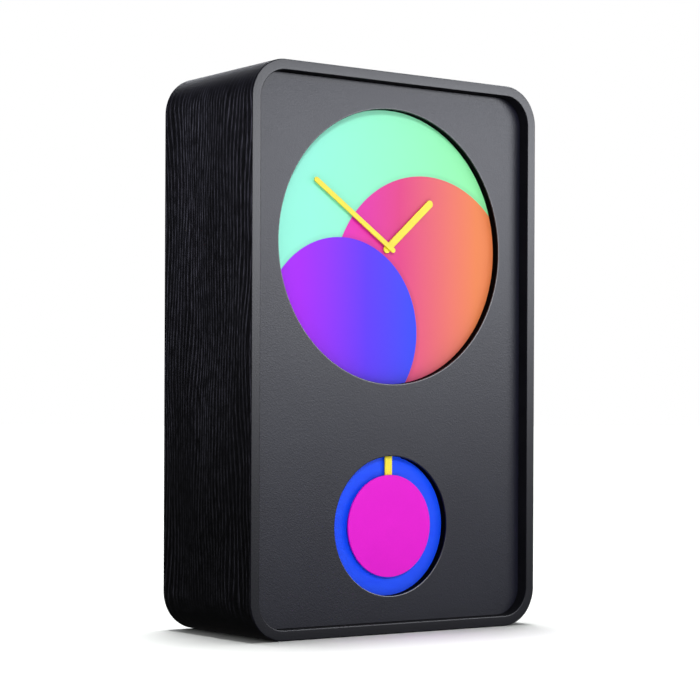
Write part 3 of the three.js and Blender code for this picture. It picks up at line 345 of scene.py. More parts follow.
def stained_oak_veneer():
    """Oak veneer stained black: nearly black, its open pores catch the light as grey streaks.

    Real pores are 0.2 to 0.3 mm wide. They are drawn 0.32 to 0.42 mm wide, so that they show.
    """
    # The spacing is in millimetres, and a ring's core and edge are shares of it
    ring_spacing, ring_core, ring_edge = 3.0, 0.02, 0.2
    black, brown_black, pore_grey = "#0B0B10", "#121219", "#545362"
    wood_roughness, pore_roughness = 0.6, 0.8
    relief, pore_depth = 0.35, 0.12 * MM
    # Painted shade towards the foot: heights in millimetres, and the share of light that is left at
    # the lower one
    shade_foot, shade_head, least_light = 60, 250, 0.28
    material, tree, sockets = start_material("stained_oak_veneer", Specular_IOR_Level=0.12)
    board = add_node(tree, "ShaderNodeUVMap", uv_map="grain")

    def along(length, width, low, high, least=0.0, most=1.0):
        """Pattern along the board, its features of a length and a width in millimetres.

        Its values from low to high are spread from least to most.
        """
        place = add_node(
            tree,
            "ShaderNodeVectorMath",
            {0: board, 1: (1 / length, 1 / width, 1)},
            operation="MULTIPLY",
        )
        pattern = add_node(
            tree, "ShaderNodeTexNoise", {"Vector": place, "Scale": 1.0, "Detail": 2.0}
        )
        return add_node(
            tree,
            "ShaderNodeMapRange",
            {
                "Value": pattern,
                "From Min": low,
                "From Max": high,
                "To Min": least,
                "To Max": most,
            },
        )

    # Growth rings, which wander by up to 9 mm along the board and ripple by 0.7 mm
    ring = add_node(tree, "ShaderNodeSeparateXYZ", {0: board}, Y)
    for operation, value in (
        ("ADD", along(190, 60, 0.25, 0.75, -9, 9)),
        ("ADD", along(34, 9, 0.2, 0.8, -0.7, 0.7)),
        ("DIVIDE", ring_spacing),
        ("FRACT", 0),
        ("SUBTRACT", 0.5),
        ("ABSOLUTE", 0),
    ):
        ring = add_node(tree, "ShaderNodeMath", {0: ring, 1: value}, operation=operation)
    streaks = add_node(
        tree,
        "ShaderNodeMapRange",
        {
            "Value": ring,
            "From Min": ring_core,
            "From Max": ring_edge,
            "To Min": 1.0,
            "To Max": 0.0,
        },
    )
    # A ring is a row of open pores, each a fine stroke, and the row has gaps
    gaps = along(8, 1.3, 0.34, 0.56, 0.2)
    strokes = along(6, 0.32, 0.38, 0.56, 0.2)
    for share in (gaps, strokes):
        streaks = add_node(
            tree, "ShaderNodeMath", {0: streaks, 1: share}, operation="MULTIPLY"
        )
    # Stray pores, fainter ones, lie between the rings
    stray, stray_share = along(9, 0.42, 0.52, 0.74), 0.3
    pores = add_node(
        tree,
        "ShaderNodeMath",
        {0: stray, 1: stray_share, 2: streaks},
        operation="MULTIPLY_ADD",
        use_clamp=True,
    )
    # Some patches of the board have fewer open pores. Over each bend the pores are faded too, as
    # painted shade of the bend
    patches = along(110, 26, 0.3, 0.65, 0.45)
    flat = add_node(tree, "ShaderNodeAttribute", output="Fac", attribute_name="flat")
    for share in (patches, flat):
        pores = add_node(tree, "ShaderNodeMath", {0: pores, 1: share}, operation="MULTIPLY")

    skin = linear(black)
    for share, tone in ((along(120, 8, 0.3, 0.7), brown_black), (pores, pore_grey)):
        skin = add_node(
            tree, "ShaderNodeMix", {0: share, 6: skin, 7: linear(tone)}, 2, data_type="RGBA"
        )
    # Painted shade: the board and its streaks darken towards the foot
    height = add_node(tree, "ShaderNodeSeparateXYZ", {0: millimetres(tree)}, Z)
    skin = darkened(tree, skin, height, shade_foot, shade_head, least_light)
    tree.links.new(skin, sockets["Base Color"])
    add_node(
        tree,
        "ShaderNodeMapRange",
        {"Value": pores, "To Min": wood_roughness, "To Max": pore_roughness},
        to=sockets["Roughness"],
    )
    surface = add_node(tree, "ShaderNodeMath", {0: 1.0, 1: pores}, operation="SUBTRACT")
    add_node(
        tree,
        "ShaderNodeBump",
        {"Height": surface, "Strength": relief, "Distance": pore_depth},
        to=sockets["Normal"],
    )
    return material


def structured_lacquer(name, shade, other, roughness, relief, **constants):
    """Matt lacquer sprayed on fibreboard to a fine leathery grain, its cells 0.7 mm across."""
    cell, speck, cloud = 0.7, 0.5, 40
    gloss_change, grain_depth = 0.04, 0.2 * MM
    material, tree, sockets = start_material(name, **constants)
    cells = add_node(
        tree,
        "ShaderNodeTexVoronoi",
        {"Vector": millimetres(tree, size=[cell] * 3), "Scale": 1.0},
        "Distance",
        feature="SMOOTH_F1",
    )
    fine = unevenness(tree, speck)
    broad = unevenness(tree, cloud, detail=3.0)
    height = add_node(tree, "ShaderNodeMath", {0: cells, 1: fine}, operation="ADD")
    colour = colour_between(tree, broad, 0.3, 0.7, linear(shade), linear(other))
    tree.links.new(colour, sockets["Base Color"])
    add_node(
        tree,
        "ShaderNodeMapRange",
        {
            "Value": fine,
            "From Min": 0.3,
            "From Max": 0.7,
            "To Min": roughness - gloss_change,
            "To Max": roughness + gloss_change,
        },
        to=sockets["Roughness"],
    )
    add_node(
        tree,
        "ShaderNodeBump",
        {"Height": height, "Strength": relief, "Distance": grain_depth},
        to=sockets["Normal"],
    )
    return material


def colour_run(tree, across, stops):
    """Even run of colour from left to right, each stop a place in millimetres and a colour."""
    colour = linear(stops[0][1])
    for (start, _), (end, hex_colour) in zip(stops, stops[1:]):
        colour = colour_between(tree, across, start, end, colour, linear(hex_colour))
    return colour


def lay_film(tree, sockets, picture, front):
    """Puts a picture on the front of a disc, under a matt film, and leaves its back white board.

    The film's texture is finer than a tenth of a millimetre, and is drawn 0.4 mm coarse.
    """
    film_texture, film_relief, film_depth = 0.4, 0.04, 0.03 * MM
    print_depth, end_softness, board_white = 0.1, 0.05, "#CFCBC2"
    depth = add_node(tree, "ShaderNodeSeparateXYZ", {0: millimetres(tree)}, Y)
    start = front / MM + print_depth
    end = start + end_softness
    colour = colour_between(tree, depth, start, end, picture, linear(board_white))
    tree.links.new(colour, sockets["Base Color"])
    add_node(
        tree,
        "ShaderNodeBump",
        {
            "Height": unevenness(tree, film_texture, detail=1.0),
            "Strength": film_relief,
            "Distance": film_depth,
        },
        to=sockets["Normal"],
    )


def dial_print():
    """Digital print under a matt film: three overlapping discs, each an even run of colour."""
    mint = [(-50, "#93F0DA"), (62, "#90F0A8")]
    warm = [(-40, "#E21FC4"), (8, "#DC3F86"), (62, "#EC8450")]
    cool = [(-58, "#A318F2"), (-14, "#5A30F0"), (30, "#124CF0")]
    shade_width, edge_softness = 3, 0.05
    material, tree, sockets = start_material("dial_print", Roughness=0.5, Specular_IOR_Level=0.08)
    place = millimetres(tree, DIAL_CENTRE)
    across = add_node(tree, "ShaderNodeSeparateXYZ", {0: place}, X)
    picture = colour_run(tree, across, mint)
    # Each further disc: its colours, its middle seen from the hands' axis, its radius, in
    # millimetres, and how dark the printed shade round it is
    for stops, middle, radius, shade in (
        (warm, (26, 0, -22), 62, 0.86),
        (cool, (-30, 0, -46), 50, 0.84),
    ):
        gap = add_node(
            tree, "ShaderNodeVectorMath", {0: place, 1: middle}, operation="SUBTRACT"
        )
        flat = add_node(
            tree, "ShaderNodeVectorMath", {0: gap, 1: (1, 0, 1)}, operation="MULTIPLY"
        )
        reach = add_node(tree, "ShaderNodeVectorMath", {0: flat}, "Value", operation="LENGTH")
        picture = darkened(tree, picture, reach, radius, radius + shade_width, shade)
        disc = colour_run(tree, across, stops)
        start, end = radius - edge_softness, radius + edge_softness
        picture = colour_between(tree, reach, start, end, disc, picture)
    lay_film(tree, sockets, picture, DIAL_FRONT)
    return material


def window_print():
    """Plain blue digital print under the same matt film, with faint bands 4 mm wide."""
    material, tree, sockets = start_material(
        "window_print", Roughness=0.5, Specular_IOR_Level=0.08
    )
    bands = unevenness(tree, 1, (18, 18, 4), 1.0)
    blue = colour_between(tree, bands, 0.3, 0.7, linear("#134DFF"), linear("#1852FF"))
    lay_film(tree, sockets, blue, WINDOW_FRONT)
    return material


# After the two shades come the roughness, the size of the grain in millimetres and its relief
FINISHES = {
    "stained_veneer": stained_oak_veneer(),
    "painted_panel": structured_lacquer(
        "structured_lacquer_panel", "#171724", "#1B1C28", 0.4, 0.19, Specular_IOR_Level=0.215
    ),
    "dial_print": dial_print(),
    "window_print": window_print(),
    # Planed pine, uncoated: pale and dull, with soft darker stripes along the stick
    "pine": grained("planed_pine", "#C79F6B", "#A87C4A", 0.7, 1.2, 0.3, (1, 1, 12)),
    # Fibreboard as pressed: brown, felted and rough. The fibres are 0.1 mm, drawn as tufts
    "raw_board": grained("raw_fibreboard", "#8A6B49", "#765A3C", 0.85, 0.6, 0.4),
    # Hardboard dyed black: a smooth dull face with faint fibres, drawn as tufts too
    "black_board": grained("black_hardboard", "#1B1B1D", "#242426", 0.62, 0.5, 0.3),
    # Zinc plated steel: bluish grey metal, softly mottled by its crystals
    "zinc_steel": grained(
        "zinc_plated_steel", "#B4B8BC", "#989CA2", 0.34, 0.8, 0.1, Metallic=1.0
    ),
    # Stoved lacquer on thin sheet: full even colour, low gloss, faint orange peel
    "yellow_paint": grained(
        "yellow_stoved_lacquer", "#F1E032", "#ECD828", 0.45, 0.9, 0.05, Specular_IOR_Level=0.15
    ),
    # The same lacquer, a little more matt, so its colour stays full in any light
    "magenta_paint": grained(
        "magenta_stoved_lacquer", "#DF03CB", "#E308CE", 0.5, 0.9, 0.05, Specular_IOR_Level=0.08
    ),
    # ABS moulded in a spark-eroded tool: black with an even grain, 0.1 mm but drawn coarser
    "black_plastic": grained("spark_grained_abs", "#131315", "#1B1B1D", 0.48, 0.35, 0.5),
    # Acetal mouldings: milky white and slightly waxy, because some light goes in
    "white_nylon": grained(
        "moulded_acetal", "#ECE8DC", "#E0DBCB", 0.36, 0.8, 0.1, Subsurface_Weight=0.08
    ),
    # Rolled brass: warm metal with parallel marks, finer than 0.1 mm but drawn coarser
    "brass": grained(
        "rolled_brass", "#D8B468", "#C79F50", 0.28, 0.4, 0.15, (1, 1, 14), Metallic=1.0
    ),
    # Moulded rubber: black and quite dull, with faint specks of bloom
    "black_rubber": grained("moulded_rubber", "#101011", "#19191A", 0.82, 0.4, 0.3),
    # Enamelled copper wire in layers: reddish metal, its shine broken up by the turns. The
    # wire is 0.1 mm, drawn 0.3 mm
    "copper_wire": grained(
        "enamelled_copper", "#C0713A", "#8E4A22", 0.3, 0.3, 0.8, (1, 8, 1), Metallic=1.0
    ),
    # Ferrite sintered and ground: dark grey with a dim shine and a powdery grain
    "magnet_steel": grained(
        "sintered_ferrite", "#5A5B5F", "#6E6F73", 0.45, 0.5, 0.3, Metallic=1.0
    ),
    # Solder mask on a glass fibre board: deep green, half gloss, the cloth shows faintly
    "circuit_resin": grained("solder_mask", "#1C5A36", "#174B2D", 0.4, 1.5, 0.1),
    # Film shrunk on the cell: blue and fairly glossy, with slow ripples
    "battery_sleeve": grained("shrink_sleeve", "#2E6AA8", "#2A619B", 0.3, 3.0, 0.05),
}
# The panel's lacquer sanded between coats on the front edge: smoother, a little glossier
RIM_LACQUER = structured_lacquer(
    "smooth_rim_lacquer", "#0C0C14", "#101019", 0.36, 0.1, Specular_IOR_Level=0.225
)
# The same lacquer over the chamfer of an opening: it draws back from the edge and stays
# glossier, so the lower edge catches a thin line of light
CHAMFER_LACQUER = structured_lacquer(
    "chamfer_lacquer", "#101016", "#14141B", 0.33, 0.05, Specular_IOR_Level=0.45
)
# Cut edges of the board, blackened with a thin water stain: almost no shine
BLACK_EDGE = grained(
    "blackened_edge", "#040405", "#070708", 0.9, 0.5, 0.2, Specular_IOR_Level=0.03
)
# Inner wall of the recess: the panel's lacquer, thinly sprayed, so it stays dull and dark
RECESS_WALL = grained(
    "thin_wall_lacquer", "#111116", "#17171C", 0.85, 0.6, 0.2, Specular_IOR_Level=0.08
)
# Inside of the bent board: unfinished beech veneer, dull brown with short flecks
INNER_VENEER = grained("raw_case_inside", "#6B5138", "#5A432C", 0.8, 0.8, 0.3, (10, 10, 1))


def dress_frame():
    """Every node that stays gets the finish of its slot."""
    for part in frame["record"]["subparts"]:
        node = frame["nodes"][part["node"]]
        finish = FINISHES[part["material_slot"]]
        if not node.material_slots:
            node.data.materials.append(finish)
        for place in node.material_slots:
            place.material = finish


# The case


def way_round(x, z, sign):
    """Distance along the case's outer skin from the middle of its top, in millimetres."""
    radius = CASE_RADIUS / MM
    height = CASE_HIGH.z / MM
    flat_half = CASE_HIGH.x / MM - radius
    side = height - 2 * radius
    quarter = radius * math.pi / 2
    x, z = abs(x) / MM, z / MM
    if x <= flat_half and z > height / 2:
        run = x
    elif x <= flat_half:
        run = flat_half + 2 * quarter + side + flat_half - x
    elif z > height - radius:
        run = flat_half + radius * math.atan2(x - flat_half, z - (height - radius))
    elif z >= radius:
        run = flat_half + quarter + (height - radius - z)
    else:
        run = flat_half + quarter + side + radius * math.atan2(radius - z, x - flat_half)
    return sign * run


def lay_grain(obj):
    """Own UV map along the bend of the board, and how much of the pores is left at each corner:
    less over the bends, as painted shade.
    """
    bend_shade = 0.8
    mesh = obj.data
    mesh.uv_layers.new(name="grain")
    mesh.attributes.new("flat", "FLOAT", "CORNER")
    layer = mesh.uv_layers["grain"]
    flat = mesh.attributes["flat"]
    for face in mesh.polygons:
        sign = 1 if face.center.x >= 0 else -1
        for index in face.loop_indices:
            point = mesh.vertices[mesh.loops[index].vertex_index].co
            layer.data[index].uv = (way_round(point.x, point.z, sign), point.y / MM)
            over = max(0, abs(point.x) - CASE_HIGH.x + CASE_RADIUS)
            up = max(0, CASE_RADIUS - point.z, point.z - CASE_HIGH.z + CASE_RADIUS)
            # 0 on the flats, 1 in the middle of a bend, where the painted shade fades the pores
            # most
            bend = math.sin(2 * math.atan2(over, up)) if over > 0 and up > 0 else 0
            flat.data[index].value = 1 - bend_shade * bend


def bent_case():
    """Board bent to a rounded tube: veneer outside, lacquered front rim, plain inside."""
    outer_rounding, inner_rounding = 0.6 * MM, 0.45 * MM
    case = add_block("bent_case", CASE_LOW, CASE_HIGH)
    round_edges(case, lambda edge: is_along(edge, Y), CASE_RADIUS, 24)
    pick(case, "faces", lambda face: abs(face.normal.y) > 0.9)
    bpy.ops.mesh.inset(thickness=CASE_WALL, depth=0)
    bpy.ops.mesh.bridge_edge_loops()
    leave_edit()

    def is_rim_edge(edge):
        """True where the front or back edge of the board meets a wall."""
        turns = {round(face.normal.y) for face in edge.link_faces}
        return is_across(edge, Y) and len(turns) == 2

    def is_inner(edge):
        point = edge_middle(edge)
        half_wall = CASE_WALL / 2
        return (
            abs(point.x) < CASE_HIGH.x - half_wall
            and abs(point.z - CASE_MIDDLE.z) < CASE_MIDDLE.z - half_wall
        )

    for inner, rounding in ((False, outer_rounding), (True, inner_rounding)):
        round_edges(
            case, lambda edge: is_rim_edge(edge) and is_inner(edge) == inner, rounding, 3
        )
    split_faces(case, (0, 0, 0), (1, 0, 0))
    split_faces(case, (0, PANEL_BACK, 0), (0, 1, 0))
    lay_grain(case)
    # The lowest face of a rounding still belongs to its wall
    wall_tilt = 0.4
    veneer, rim, inside, recess = range(4)
    for face in case.data.polygons:
        outward = Vector((face.center.x, 0, face.center.z - CASE_MIDDLE.z))
        if abs(face.normal.y) > wall_tilt:
            face.material_index = rim
        elif outward.dot(face.normal) > 0:
            face.material_index = veneer
        elif face.center.y < PANEL_BACK:
            face.material_index = recess
        else:
            face.material_index = inside
    soften(case)
    hand_over(
        case, "case", "stained_veneer", "case_shell", RIM_LACQUER, INNER_VENEER, RECESS_WALL
    )


def rounded_board(name, node):
    """Board that fits into the case, and the corners of the node that it stands for."""
    low, high = corners(node)
    board = add_block(name, low, high)
    round_edges(board, lambda edge: is_along(edge, Y), BOARD_RADIUS, 20)
    return board, low, high


def recessed_panel():
    """Front panel with both openings, chamfered, and a relief for the pendulum behind it."""
    chamfer = 0.6 * MM
    relief_front = CASE_LOW.y + 8.6 * MM
    relief_half, relief_foot, relief_head = 9.5 * MM, 86.7 * MM, 122.1 * MM
    openings = (
        ("cut_dial", DIAL_CENTRE.z, DIAL_OPENING_RADIUS, 192),
        ("cut_window", WINDOW_CENTRE.z, WINDOW_OPENING_RADIUS, 144),
    )
    board, low, high = rounded_board("recessed_panel", "front_panel")
    before, behind = low.y - CLEAR, high.y + CLEAR
    cuts = [
        add_post(name, radius, (0, 0, height), before, behind, sides)
        for name, height, radius, sides in openings
    ]
    relief = add_block(
        "cut_relief",
        (-relief_half, relief_front, relief_foot),
        (relief_half, behind, relief_head),
    )
    carve(board, [*cuts, relief])

    def is_opening_edge(edge):
        point = edge_middle(edge)
        return lies_at(edge, Y, low.y) and any(
            abs(math.hypot(point.x, point.z - height) - radius) < 0.1 * MM
            for _, height, radius, _ in openings
        )

    round_edges(board, is_opening_edge, chamfer, 2)
    face_tilt, chamfer_tilt = 0.98, 0.1
    lacquer, black_edge, chamfer_lacquer = range(3)
    for face in board.data.polygons:
        tilt = abs(face.normal.y)
        if tilt > face_tilt:
            face.material_index = lacquer
        elif tilt > chamfer_tilt:
            face.material_index = chamfer_lacquer
        else:
            face.material_index = black_edge
    soften(board, 35)
    hand_over(board, "case", "painted_panel", "front_panel", BLACK_EDGE, CHAMFER_LACQUER)


def rear_board():
    """Back board with its access opening, all edges eased."""
    opening_half, opening_foot, opening_head = 52 * MM, 106.2 * MM, 256.2 * MM
    opening_corner, easing = 12 * MM, 0.4 * MM
    board, low, high = rounded_board("rear_board", "back_board")
    opening = add_block(
        "cut_access",
        (-opening_half, low.y - CLEAR, opening_foot),
        (opening_half, high.y + CLEAR, opening_head),
    )
    round_edges(opening, lambda edge: is_along(edge, Y), opening_corner, 12)
    carve(board, [opening])
    ease(board, easing)
    soften(board, 35)
    hand_over(board, "case", "black_board", "back_board")


def pan_head_screw():
    """Pan head wood screw with a cross recess, modelled once around the first screw's place."""
    head_radius, head_height, head_rounding = 2.9 * MM, 1.7 * MM, 1.0 * MM
    shank_radius, tip_length, point_share = 1.25 * MM, 2 * MM, 0.15
    tip_overlap, head_overlap, recess_clear = 0.2 * MM, 0.3 * MM, 0.2 * MM
    recess_reach, recess_half, recess_depth = 1.55 * MM, 0.35 * MM, 1.0 * MM
    low, high = corners("back_board_screw_1")
    middle = (low + high) / 2
    point, top = low.y, high.y
    seat = top - head_height
    neck = point + tip_length
    head = add_post("pan_head_screw", head_radius, middle, seat, top, 40)
    round_edges(head, lambda edge: lies_at(edge, Y, top), head_rounding, 4)
    shank = add_post("shank", shank_radius, middle, neck, seat + head_overlap, 24)
    tip = add_post("tip", shank_radius, middle, point, neck + tip_overlap, 24)
    pick(tip, "verts", lambda vertex: vertex.co.y < point + TOUCH)
    bpy.ops.transform.resize(
        value=(point_share, 1, point_share), center_override=at_depth(middle, point)
    )
    leave_edit()
    carve(head, [shank, tip], "UNION")
    recess_floor = at_depth(middle, top - recess_depth)
    recess_mouth = at_depth(middle, top + recess_clear)
    slots = []
    for long_axis in (X, Z):
        reach = Vector((recess_half, 0, recess_half))
        reach[long_axis] = recess_reach
        slots.append(add_block("slot", recess_floor - reach, recess_mouth + reach))
    carve(head, slots)
    soften(head)
    return head, middle


def rear_screws():
    """The six screws of the back board: one modelled, five copied from it."""
    first, start = pan_head_screw()
    screws = [first]
    for number in range(2, 7):
        screw = first.copy()
        screw.data = first.data.copy()
        bpy.context.collection.objects.link(screw)
        screw.location = middle_of(f"back_board_screw_{number}") - start
        screws.append(settle(screw, f"pan_head_screw_{number}"))
    for number, screw in enumerate(screws, 1):
        hand_over(screw, "case", "zinc_steel", f"back_board_screw_{number}")


def knob_ring(knob, front, back):
    """Raised ring round the setting knob."""
    outer, inner, height = 7.6 * MM, 6.7 * MM, 0.7 * MM
    ring = add_post("knob_ring", outer, knob, back - CLEAR, back + height)
    carve(ring, [add_post("inner", inner, knob, front, back + CLEAR)])
    return ring


def turning_arc(knob, front, back):
    """Raised arc over the knob, which stays of a ring when its lower part is cut off."""
    outer, inner, foot, spare = 10 * MM, 9.3 * MM, 5 * MM, 11 * MM
    arc = add_post("turning_arc", outer, knob, back - CLEAR, back + MARK_HEIGHT)
    lower = add_block(
        "lower",
        (knob.x - spare, front, knob.z - spare),
        (knob.x + spare, back + CLEAR, knob.z + foot),
    )
    carve(arc, [add_post("inner", inner, knob, front, back + CLEAR), lower])
    return arc


def arrow_head(knob, back, side):
    """Three-cornered head at one end of the arc."""
    radius, sideways, up = 1.5 * MM, 8.3 * MM, 4.6 * MM
    tip = (knob.x + side * sideways, 0, knob.z + up)
    return add_post("arrow_head", radius, tip, back - CLEAR, back + MARK_HEIGHT, 3)


def pole_mark(cell, back, side):
    """Bars of a minus at the flat end of the cell, and of a plus at its button."""
    sideways, up, half_length, half_width = 21 * MM, 11 * MM, 1.8 * MM, 0.4 * MM
    middle = Vector((side * sideways, back, cell.z + up))
    bars = [Vector((half_length, MARK_HEIGHT, half_width))]
    if side > 0:
        bars.append(Vector((half_width, MARK_HEIGHT, half_length)))
    return [add_block("pole_mark", middle - bar, middle + bar) for bar in bars]


def side_clips(low, high, side):
    """Two clips on one side of the cover, near its foot and near its top."""
    sideways, half_width, half_height = 28.4 * MM, 0.5 * MM, 4 * MM
    reach, sunk, rounding = 6 * MM, 0.3 * MM, 0.8 * MM
    clips = []
    for share in (0.2, 0.84):
        middle = side * sideways
        height = low.z + share * (high.z - low.z)
        clip = add_block(
            "clip",
            (middle - half_width, high.y - reach, height - half_height),
            (middle + half_width, high.y - sunk, height + half_height),
        )
        round_edges(clip, lambda edge: is_along(edge, X), rounding, 4)
        clips.append(clip)
    return clips


def movement_cover():
    """Rear half of the movement: a moulding with battery bay, raised marks and clips."""
    plate, corner, easing = 1.4 * MM, 3 * MM, 0.12 * MM
    bay_half_length, bay_half_width, bay_corner = 26.6 * MM, 7.55 * MM, 0.8 * MM
    shaft_radius = 1.4 * MM
    low, high = corners("movement_cover")
    cell = middle_of("battery")
    knob = middle_of("setting_knob")
    back = high.y
    front = back - plate
    before, behind = front - CLEAR, back + CLEAR
    cover = add_block("cover_moulding", (low.x, front, low.z), high)
    round_edges(cover, lambda edge: is_along(edge, Y), corner, 10)
    raised = [knob_ring(knob, front, back), turning_arc(knob, front, back)]
    for side in (-1, 1):
        raised.append(arrow_head(knob, back, side))
        raised += pole_mark(cell, back, side)
        raised += side_clips(low, high, side)
    carve(cover, raised, "UNION")
    bay = add_block(
        "bay",
        (-bay_half_length, before, cell.z - bay_half_width),
        (bay_half_length, behind, cell.z + bay_half_width),
    )
    round_edges(bay, lambda edge: is_along(edge, Y), bay_corner, 4)
    carve(cover, [bay, add_post("shaft_hole", shaft_radius, knob, before, behind, 32)])
    ease(cover, easing)
    soften(cover, 35)
    hand_over(cover, "case", "black_plastic", "movement_cover")


def round_cell():
    """Round cell: steel can in a plain sleeve, with a rolled groove and a pressed button."""
    button_radius, button_height, rim_rounding = 2.75 * MM, 1 * MM, 0.5 * MM
    groove_from_end, groove_half, groove_share = 2.2 * MM, 0.6 * MM, 0.95
    bare_end = 0.2 * MM
    low, high = corners("battery")
    middle = (low + high) / 2
    radius = (high.z - low.z) / 2

    def along(x):
        return Vector((x, middle.y, middle.z))

    shoulder = high.x - button_height
    cell = add_rod("round_cell", radius, along(low.x), along(shoulder), 96)
    round_edges(cell, lambda edge: is_across(edge, X), rim_rounding, 4)
    groove = shoulder - groove_from_end
    for place in (groove - groove_half, groove, groove + groove_half):
        split_faces(cell, along(place), (1, 0, 0))
    pick(cell, "verts", lambda vertex: abs(vertex.co.x - groove) < TOUCH)
    bpy.ops.transform.resize(
        value=(1, groove_share, groove_share), center_override=along(groove)
    )
    leave_edit()
    pick(cell, "faces", lambda face: face.normal.x > 0.99)
    bpy.ops.mesh.inset(thickness=radius - rim_rounding - button_radius, depth=0)
    bpy.ops.mesh.extrude_region_move(
        TRANSFORM_OT_translate={"value": (button_height, 0, 0)}
    )
    leave_edit()
    sleeve, steel = range(2)
    for face in cell.data.polygons:
        bare = abs(face.normal.x) > 0.8 or face.center.x > shoulder - bare_end
        face.material_index = steel if bare else sleeve
    soften(cell)
    hand_over(cell, "case", "battery_sleeve", "battery", FINISHES["zinc_steel"])


def fluted_knob():
    """Setting knob with a grip of 24 flutes and a dished end."""
    flutes, faces_each = 24, 3
    flute_border, flute_depth = 0.08 * MM, 0.3 * MM
    low, high = corners("setting_knob")
    middle = (low + high) / 2
    radius = (high.x - low.x) / 2
    knob = add_post("fluted_knob", radius, middle, low.y, high.y, flutes * faces_each)
    around = {
        face.index: math.atan2(face.center.x - middle.x, face.center.z - middle.z)
        for face in knob.data.polygons
        if abs(face.normal.y) < 0.5
    }
    grooves = set(sorted(around, key=around.get)[::faces_each])
    pick(knob, "faces", lambda face: face.index in grooves)
    bpy.ops.mesh.inset(thickness=flute_border, depth=-flute_depth, use_individual=True)
    leave_edit()
    # The end: an eased border, a flat ring and a dish, each a width and a rise in millimetres
    pick(knob, "faces", lambda face: face.normal.y > 0.99)
    for width, rise in ((0.5, 0.3), (1.2, 0), (0.4, -0.5)):
        bpy.ops.mesh.inset(thickness=width * MM, depth=rise * MM)
    leave_edit()
    # The border rose, so the end goes back to the knob's own length
    excess = max(vertex.co.y for vertex in knob.data.vertices) - high.y
    pick(knob, "verts", lambda vertex: vertex.co.y > middle.y)
    bpy.ops.transform.translate(value=(0, -excess, 0))
    leave_edit()
    soften(knob)
    hand_over(knob, "setting_group", "white_nylon", "setting_knob")


# Hands and pendulum


def blade(name, node, body, length, width, tail, angle):
    """Flat hand with round ends and eased front edges, turned by an angle from twelve."""
    # An end rounded by the whole half width would fold, so a little is left
    easing, end_share = 0.12 * MM, 0.999
    low, high = corners(node)
    half = width / 2
    hand = add_block(name, (-half, low.y, -tail - half), (half, high.y, length))
    round_edges(hand, lambda edge: is_along(edge, Y), half * end_share, 12)
    round_edges(hand, lambda edge: lies_at(edge, Y, low.y), easing, 2)
    hand.rotation_euler = (0, math.radians(angle), 0)
    hand.location = (0, 0, DIAL_CENTRE.z)
    settle(hand, name)
    soften(hand)
    hand_over(hand, body, "yellow_paint", node)


def swing_rod():
    """Flat rod of the pendulum, round at its foot, with an eye that hangs on the hook."""
    half, eye_radius, hole_radius, end_share = 2.25 * MM, 4 * MM, 1.9 * MM, 0.99
    low, high = corners("pendulum_rod")
    hook = high.z - eye_radius
    rod = add_block("swing_rod", (-half, low.y, low.z), (half, high.y, hook))
    axis = (0, 0, hook)
    carve(rod, [add_post("eye", eye_radius, axis, low.y, high.y, 48)], "UNION")
    carve(rod, [add_post("hole", hole_radius, axis, low.y - CLEAR, high.y + CLEAR, 32)])
    foot = low.z + TOUCH
    round_edges(
        rod, lambda edge: is_along(edge, Y) and edge.verts[0].co.z < foot, half * end_share, 10
    )
    soften(rod)
    hand_over(rod, "pendulum_group", "yellow_paint", "pendulum_rod")


def swing_disc():
    """Bob of the pendulum: a disc of sheet metal, its edges eased under the lacquer."""
    radius, easing = 27.5 * MM, 0.18 * MM
    low, high = corners("pendulum_bob")
    axis = (0, 0, (low.z + high.z) / 2)
    disc = add_post("swing_disc", radius, axis, low.y, high.y, 160)
    round_edges(disc, lambda edge: is_across(edge, Y), easing, 3)
    soften(disc)
    hand_over(disc, "pendulum_group", "magenta_paint", "pendulum_bob")


# Stage, light and camera


def studio_floor():
    """Wide sheet of backdrop paper, off-white and very dull, its fibres in tufts of 3 mm."""
    bpy.ops.object.select_all(action="DESELECT")
    bpy.ops.mesh.primitive_plane_add(size=60, location=(0, 0, 0))
    floor = bpy.context.object
    floor.name = "studio_floor"
    paper, tree, sockets = start_material(
        "backdrop_paper", Base_Color=linear("#F2F4F2"), Specular_IOR_Level=0.1
    )
    add_node(
        tree,
        "ShaderNodeMapRange",
        {"Value": unevenness(tree, 3), "To Min": 0.86, "To Max": 0.94},
        to=sockets["Roughness"],
    )
    floor.data.materials.append(paper)
    floor.visible_glossy = False
    return floor


def studio_world():
    """Backdrop all round: white to the eye, soft on matt faces, dim in reflections.

    A brighter reflection would lie as a veil over the dark case.
    """
    on_matt_faces, in_reflections = 0.3, 0.06
    world = bpy.data.worlds.new("studio_world")
    world.use_nodes = True
    tree = world.node_tree
    background = tree.nodes["Background"].inputs
    background["Color"].default_value = (1, 1, 1, 1)
    rays = add_node(tree, "ShaderNodeLightPath").node.outputs
    soft = add_node(
        tree,
        "ShaderNodeMapRange",
        {"Value": rays["Is Glossy Ray"], "To Min": on_matt_faces, "To Max": in_reflections},
    )
    add_node(
        tree,
        "ShaderNodeMath",
        {0: rays["Is Camera Ray"], 1: soft},
        to=background["Strength"],
        operation="MAXIMUM",
    )
    bpy.context.scene.world = world


def hang_lamp(name, kind, power, place, direction):
    """Lamp at a place that shines in a direction."""
    light = bpy.data.lights.new(name, kind)
    light.energy = power
    lamp = bpy.data.objects.new(name, light)
    lamp.location = place
    lamp.rotation_euler = Vector(direction).to_track_quat("-Z", "Y").to_euler()
    bpy.context.collection.objects.link(lamp)
    return lamp, light


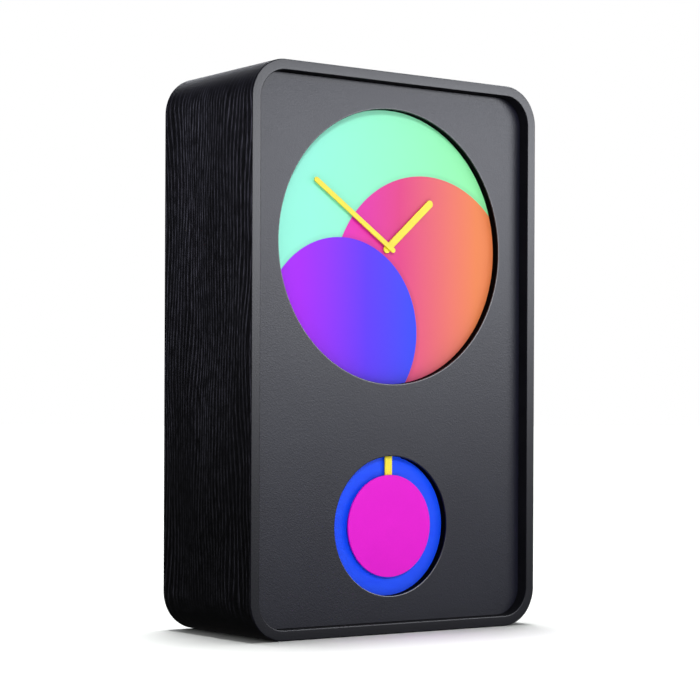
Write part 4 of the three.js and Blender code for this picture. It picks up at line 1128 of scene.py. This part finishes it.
def softboxes():
    """Soft lamps for the shine alone."""
    # Each one's name, width, height, power, place and the point that it looks at
    for name, width, height, power, place, target in (
        ("softbox_front_right", 1.0, 0.26, 21, (0.71, -1.0, 0.4), (0.27, 0, 0.4)),
        ("softbox_overhead", 0.6, 0.6, 20, (0.7, -0.15, 1.0), (0, 0, 0)),
        ("softbox_rear", 0.8, 0.8, 16, (0.5, 1.2, 0.6), (0, 0, 0.15)),
    ):
        direction = Vector(target) - Vector(place)
        lamp, light = hang_lamp(name, "AREA", power, place, direction)
        light.shape = "RECTANGLE"
        light.size = width
        light.size_y = height
        light.color = (0.92, 0.94, 1.0)
        lamp.visible_camera = False
        lamp.visible_diffuse = False


def matt_lights(floor):
    """Distant lamps for the light on matt faces alone. Both fills leave out the floor."""
    not_floor = bpy.data.collections.new("all_but_the_floor")
    not_floor.objects.link(floor)
    not_floor.collection_objects[0].light_linking.link_state = "EXCLUDE"
    # Each one's name, power, width as an angle, and direction
    for name, power, angle, direction in (
        ("overhead_light", 3.6, 0.38, (-0.06, -0.1, -1)),
        ("front_fill", 1.42, 0.2, (0.45, 1, -0.52)),
        ("rear_fill", 1.5, 0.5, (-0.3, -1, -0.35)),
    ):
        lamp, light = hang_lamp(name, "SUN", power, (0, 0, 2), direction)
        light.angle = angle
        lamp.visible_glossy = False
        if name != "overhead_light":
            lamp.light_linking.receiver_collection = not_floor


def photograph_camera():
    """Standpoint, focal length and slight roll worked out from the outline in the photograph."""
    standpoint = Vector((-0.6854, -0.9437, 0.1143))
    forward = Vector((0.5868, 0.8098, 0)).normalized()
    roll = math.radians(0.2329)
    camera = bpy.data.cameras.new("photograph_camera")
    camera.lens = 108.74
    camera.sensor_width = 36
    camera.shift_y = 0.0996
    camera.clip_start = 0.05
    viewer = bpy.data.objects.new("photograph_camera", camera)
    bpy.context.collection.objects.link(viewer)
    up = Vector((0, 0, 1))
    right = forward.cross(up)
    rolled_right = right * math.cos(roll) + up * math.sin(roll)
    rolled_up = up * math.cos(roll) - right * math.sin(roll)
    axes = Matrix((rolled_right, rolled_up, -forward)).transposed().to_4x4()
    viewer.matrix_world = Matrix.Translation(standpoint) @ axes
    bpy.context.scene.camera = viewer


photograph_camera()
dress_frame()
bent_case()
recessed_panel()
rear_board()
rear_screws()
movement_cover()
round_cell()
fluted_knob()
blade(
    "minute_blade",
    "minute_hand",
    "minute_group",
    length=60 * MM,
    width=2.8 * MM,
    tail=2.7 * MM,
    angle=-55.5,
)
blade(
    "hour_blade",
    "hour_hand",
    "hour_group",
    length=39.5 * MM,
    width=4.2 * MM,
    tail=1.6 * MM,
    angle=48.2,
)
swing_rod()
swing_disc()
backdrop = studio_floor()
studio_world()
softboxes()
matt_lights(backdrop)
bpy.context.scene.view_settings.view_transform = "Standard"
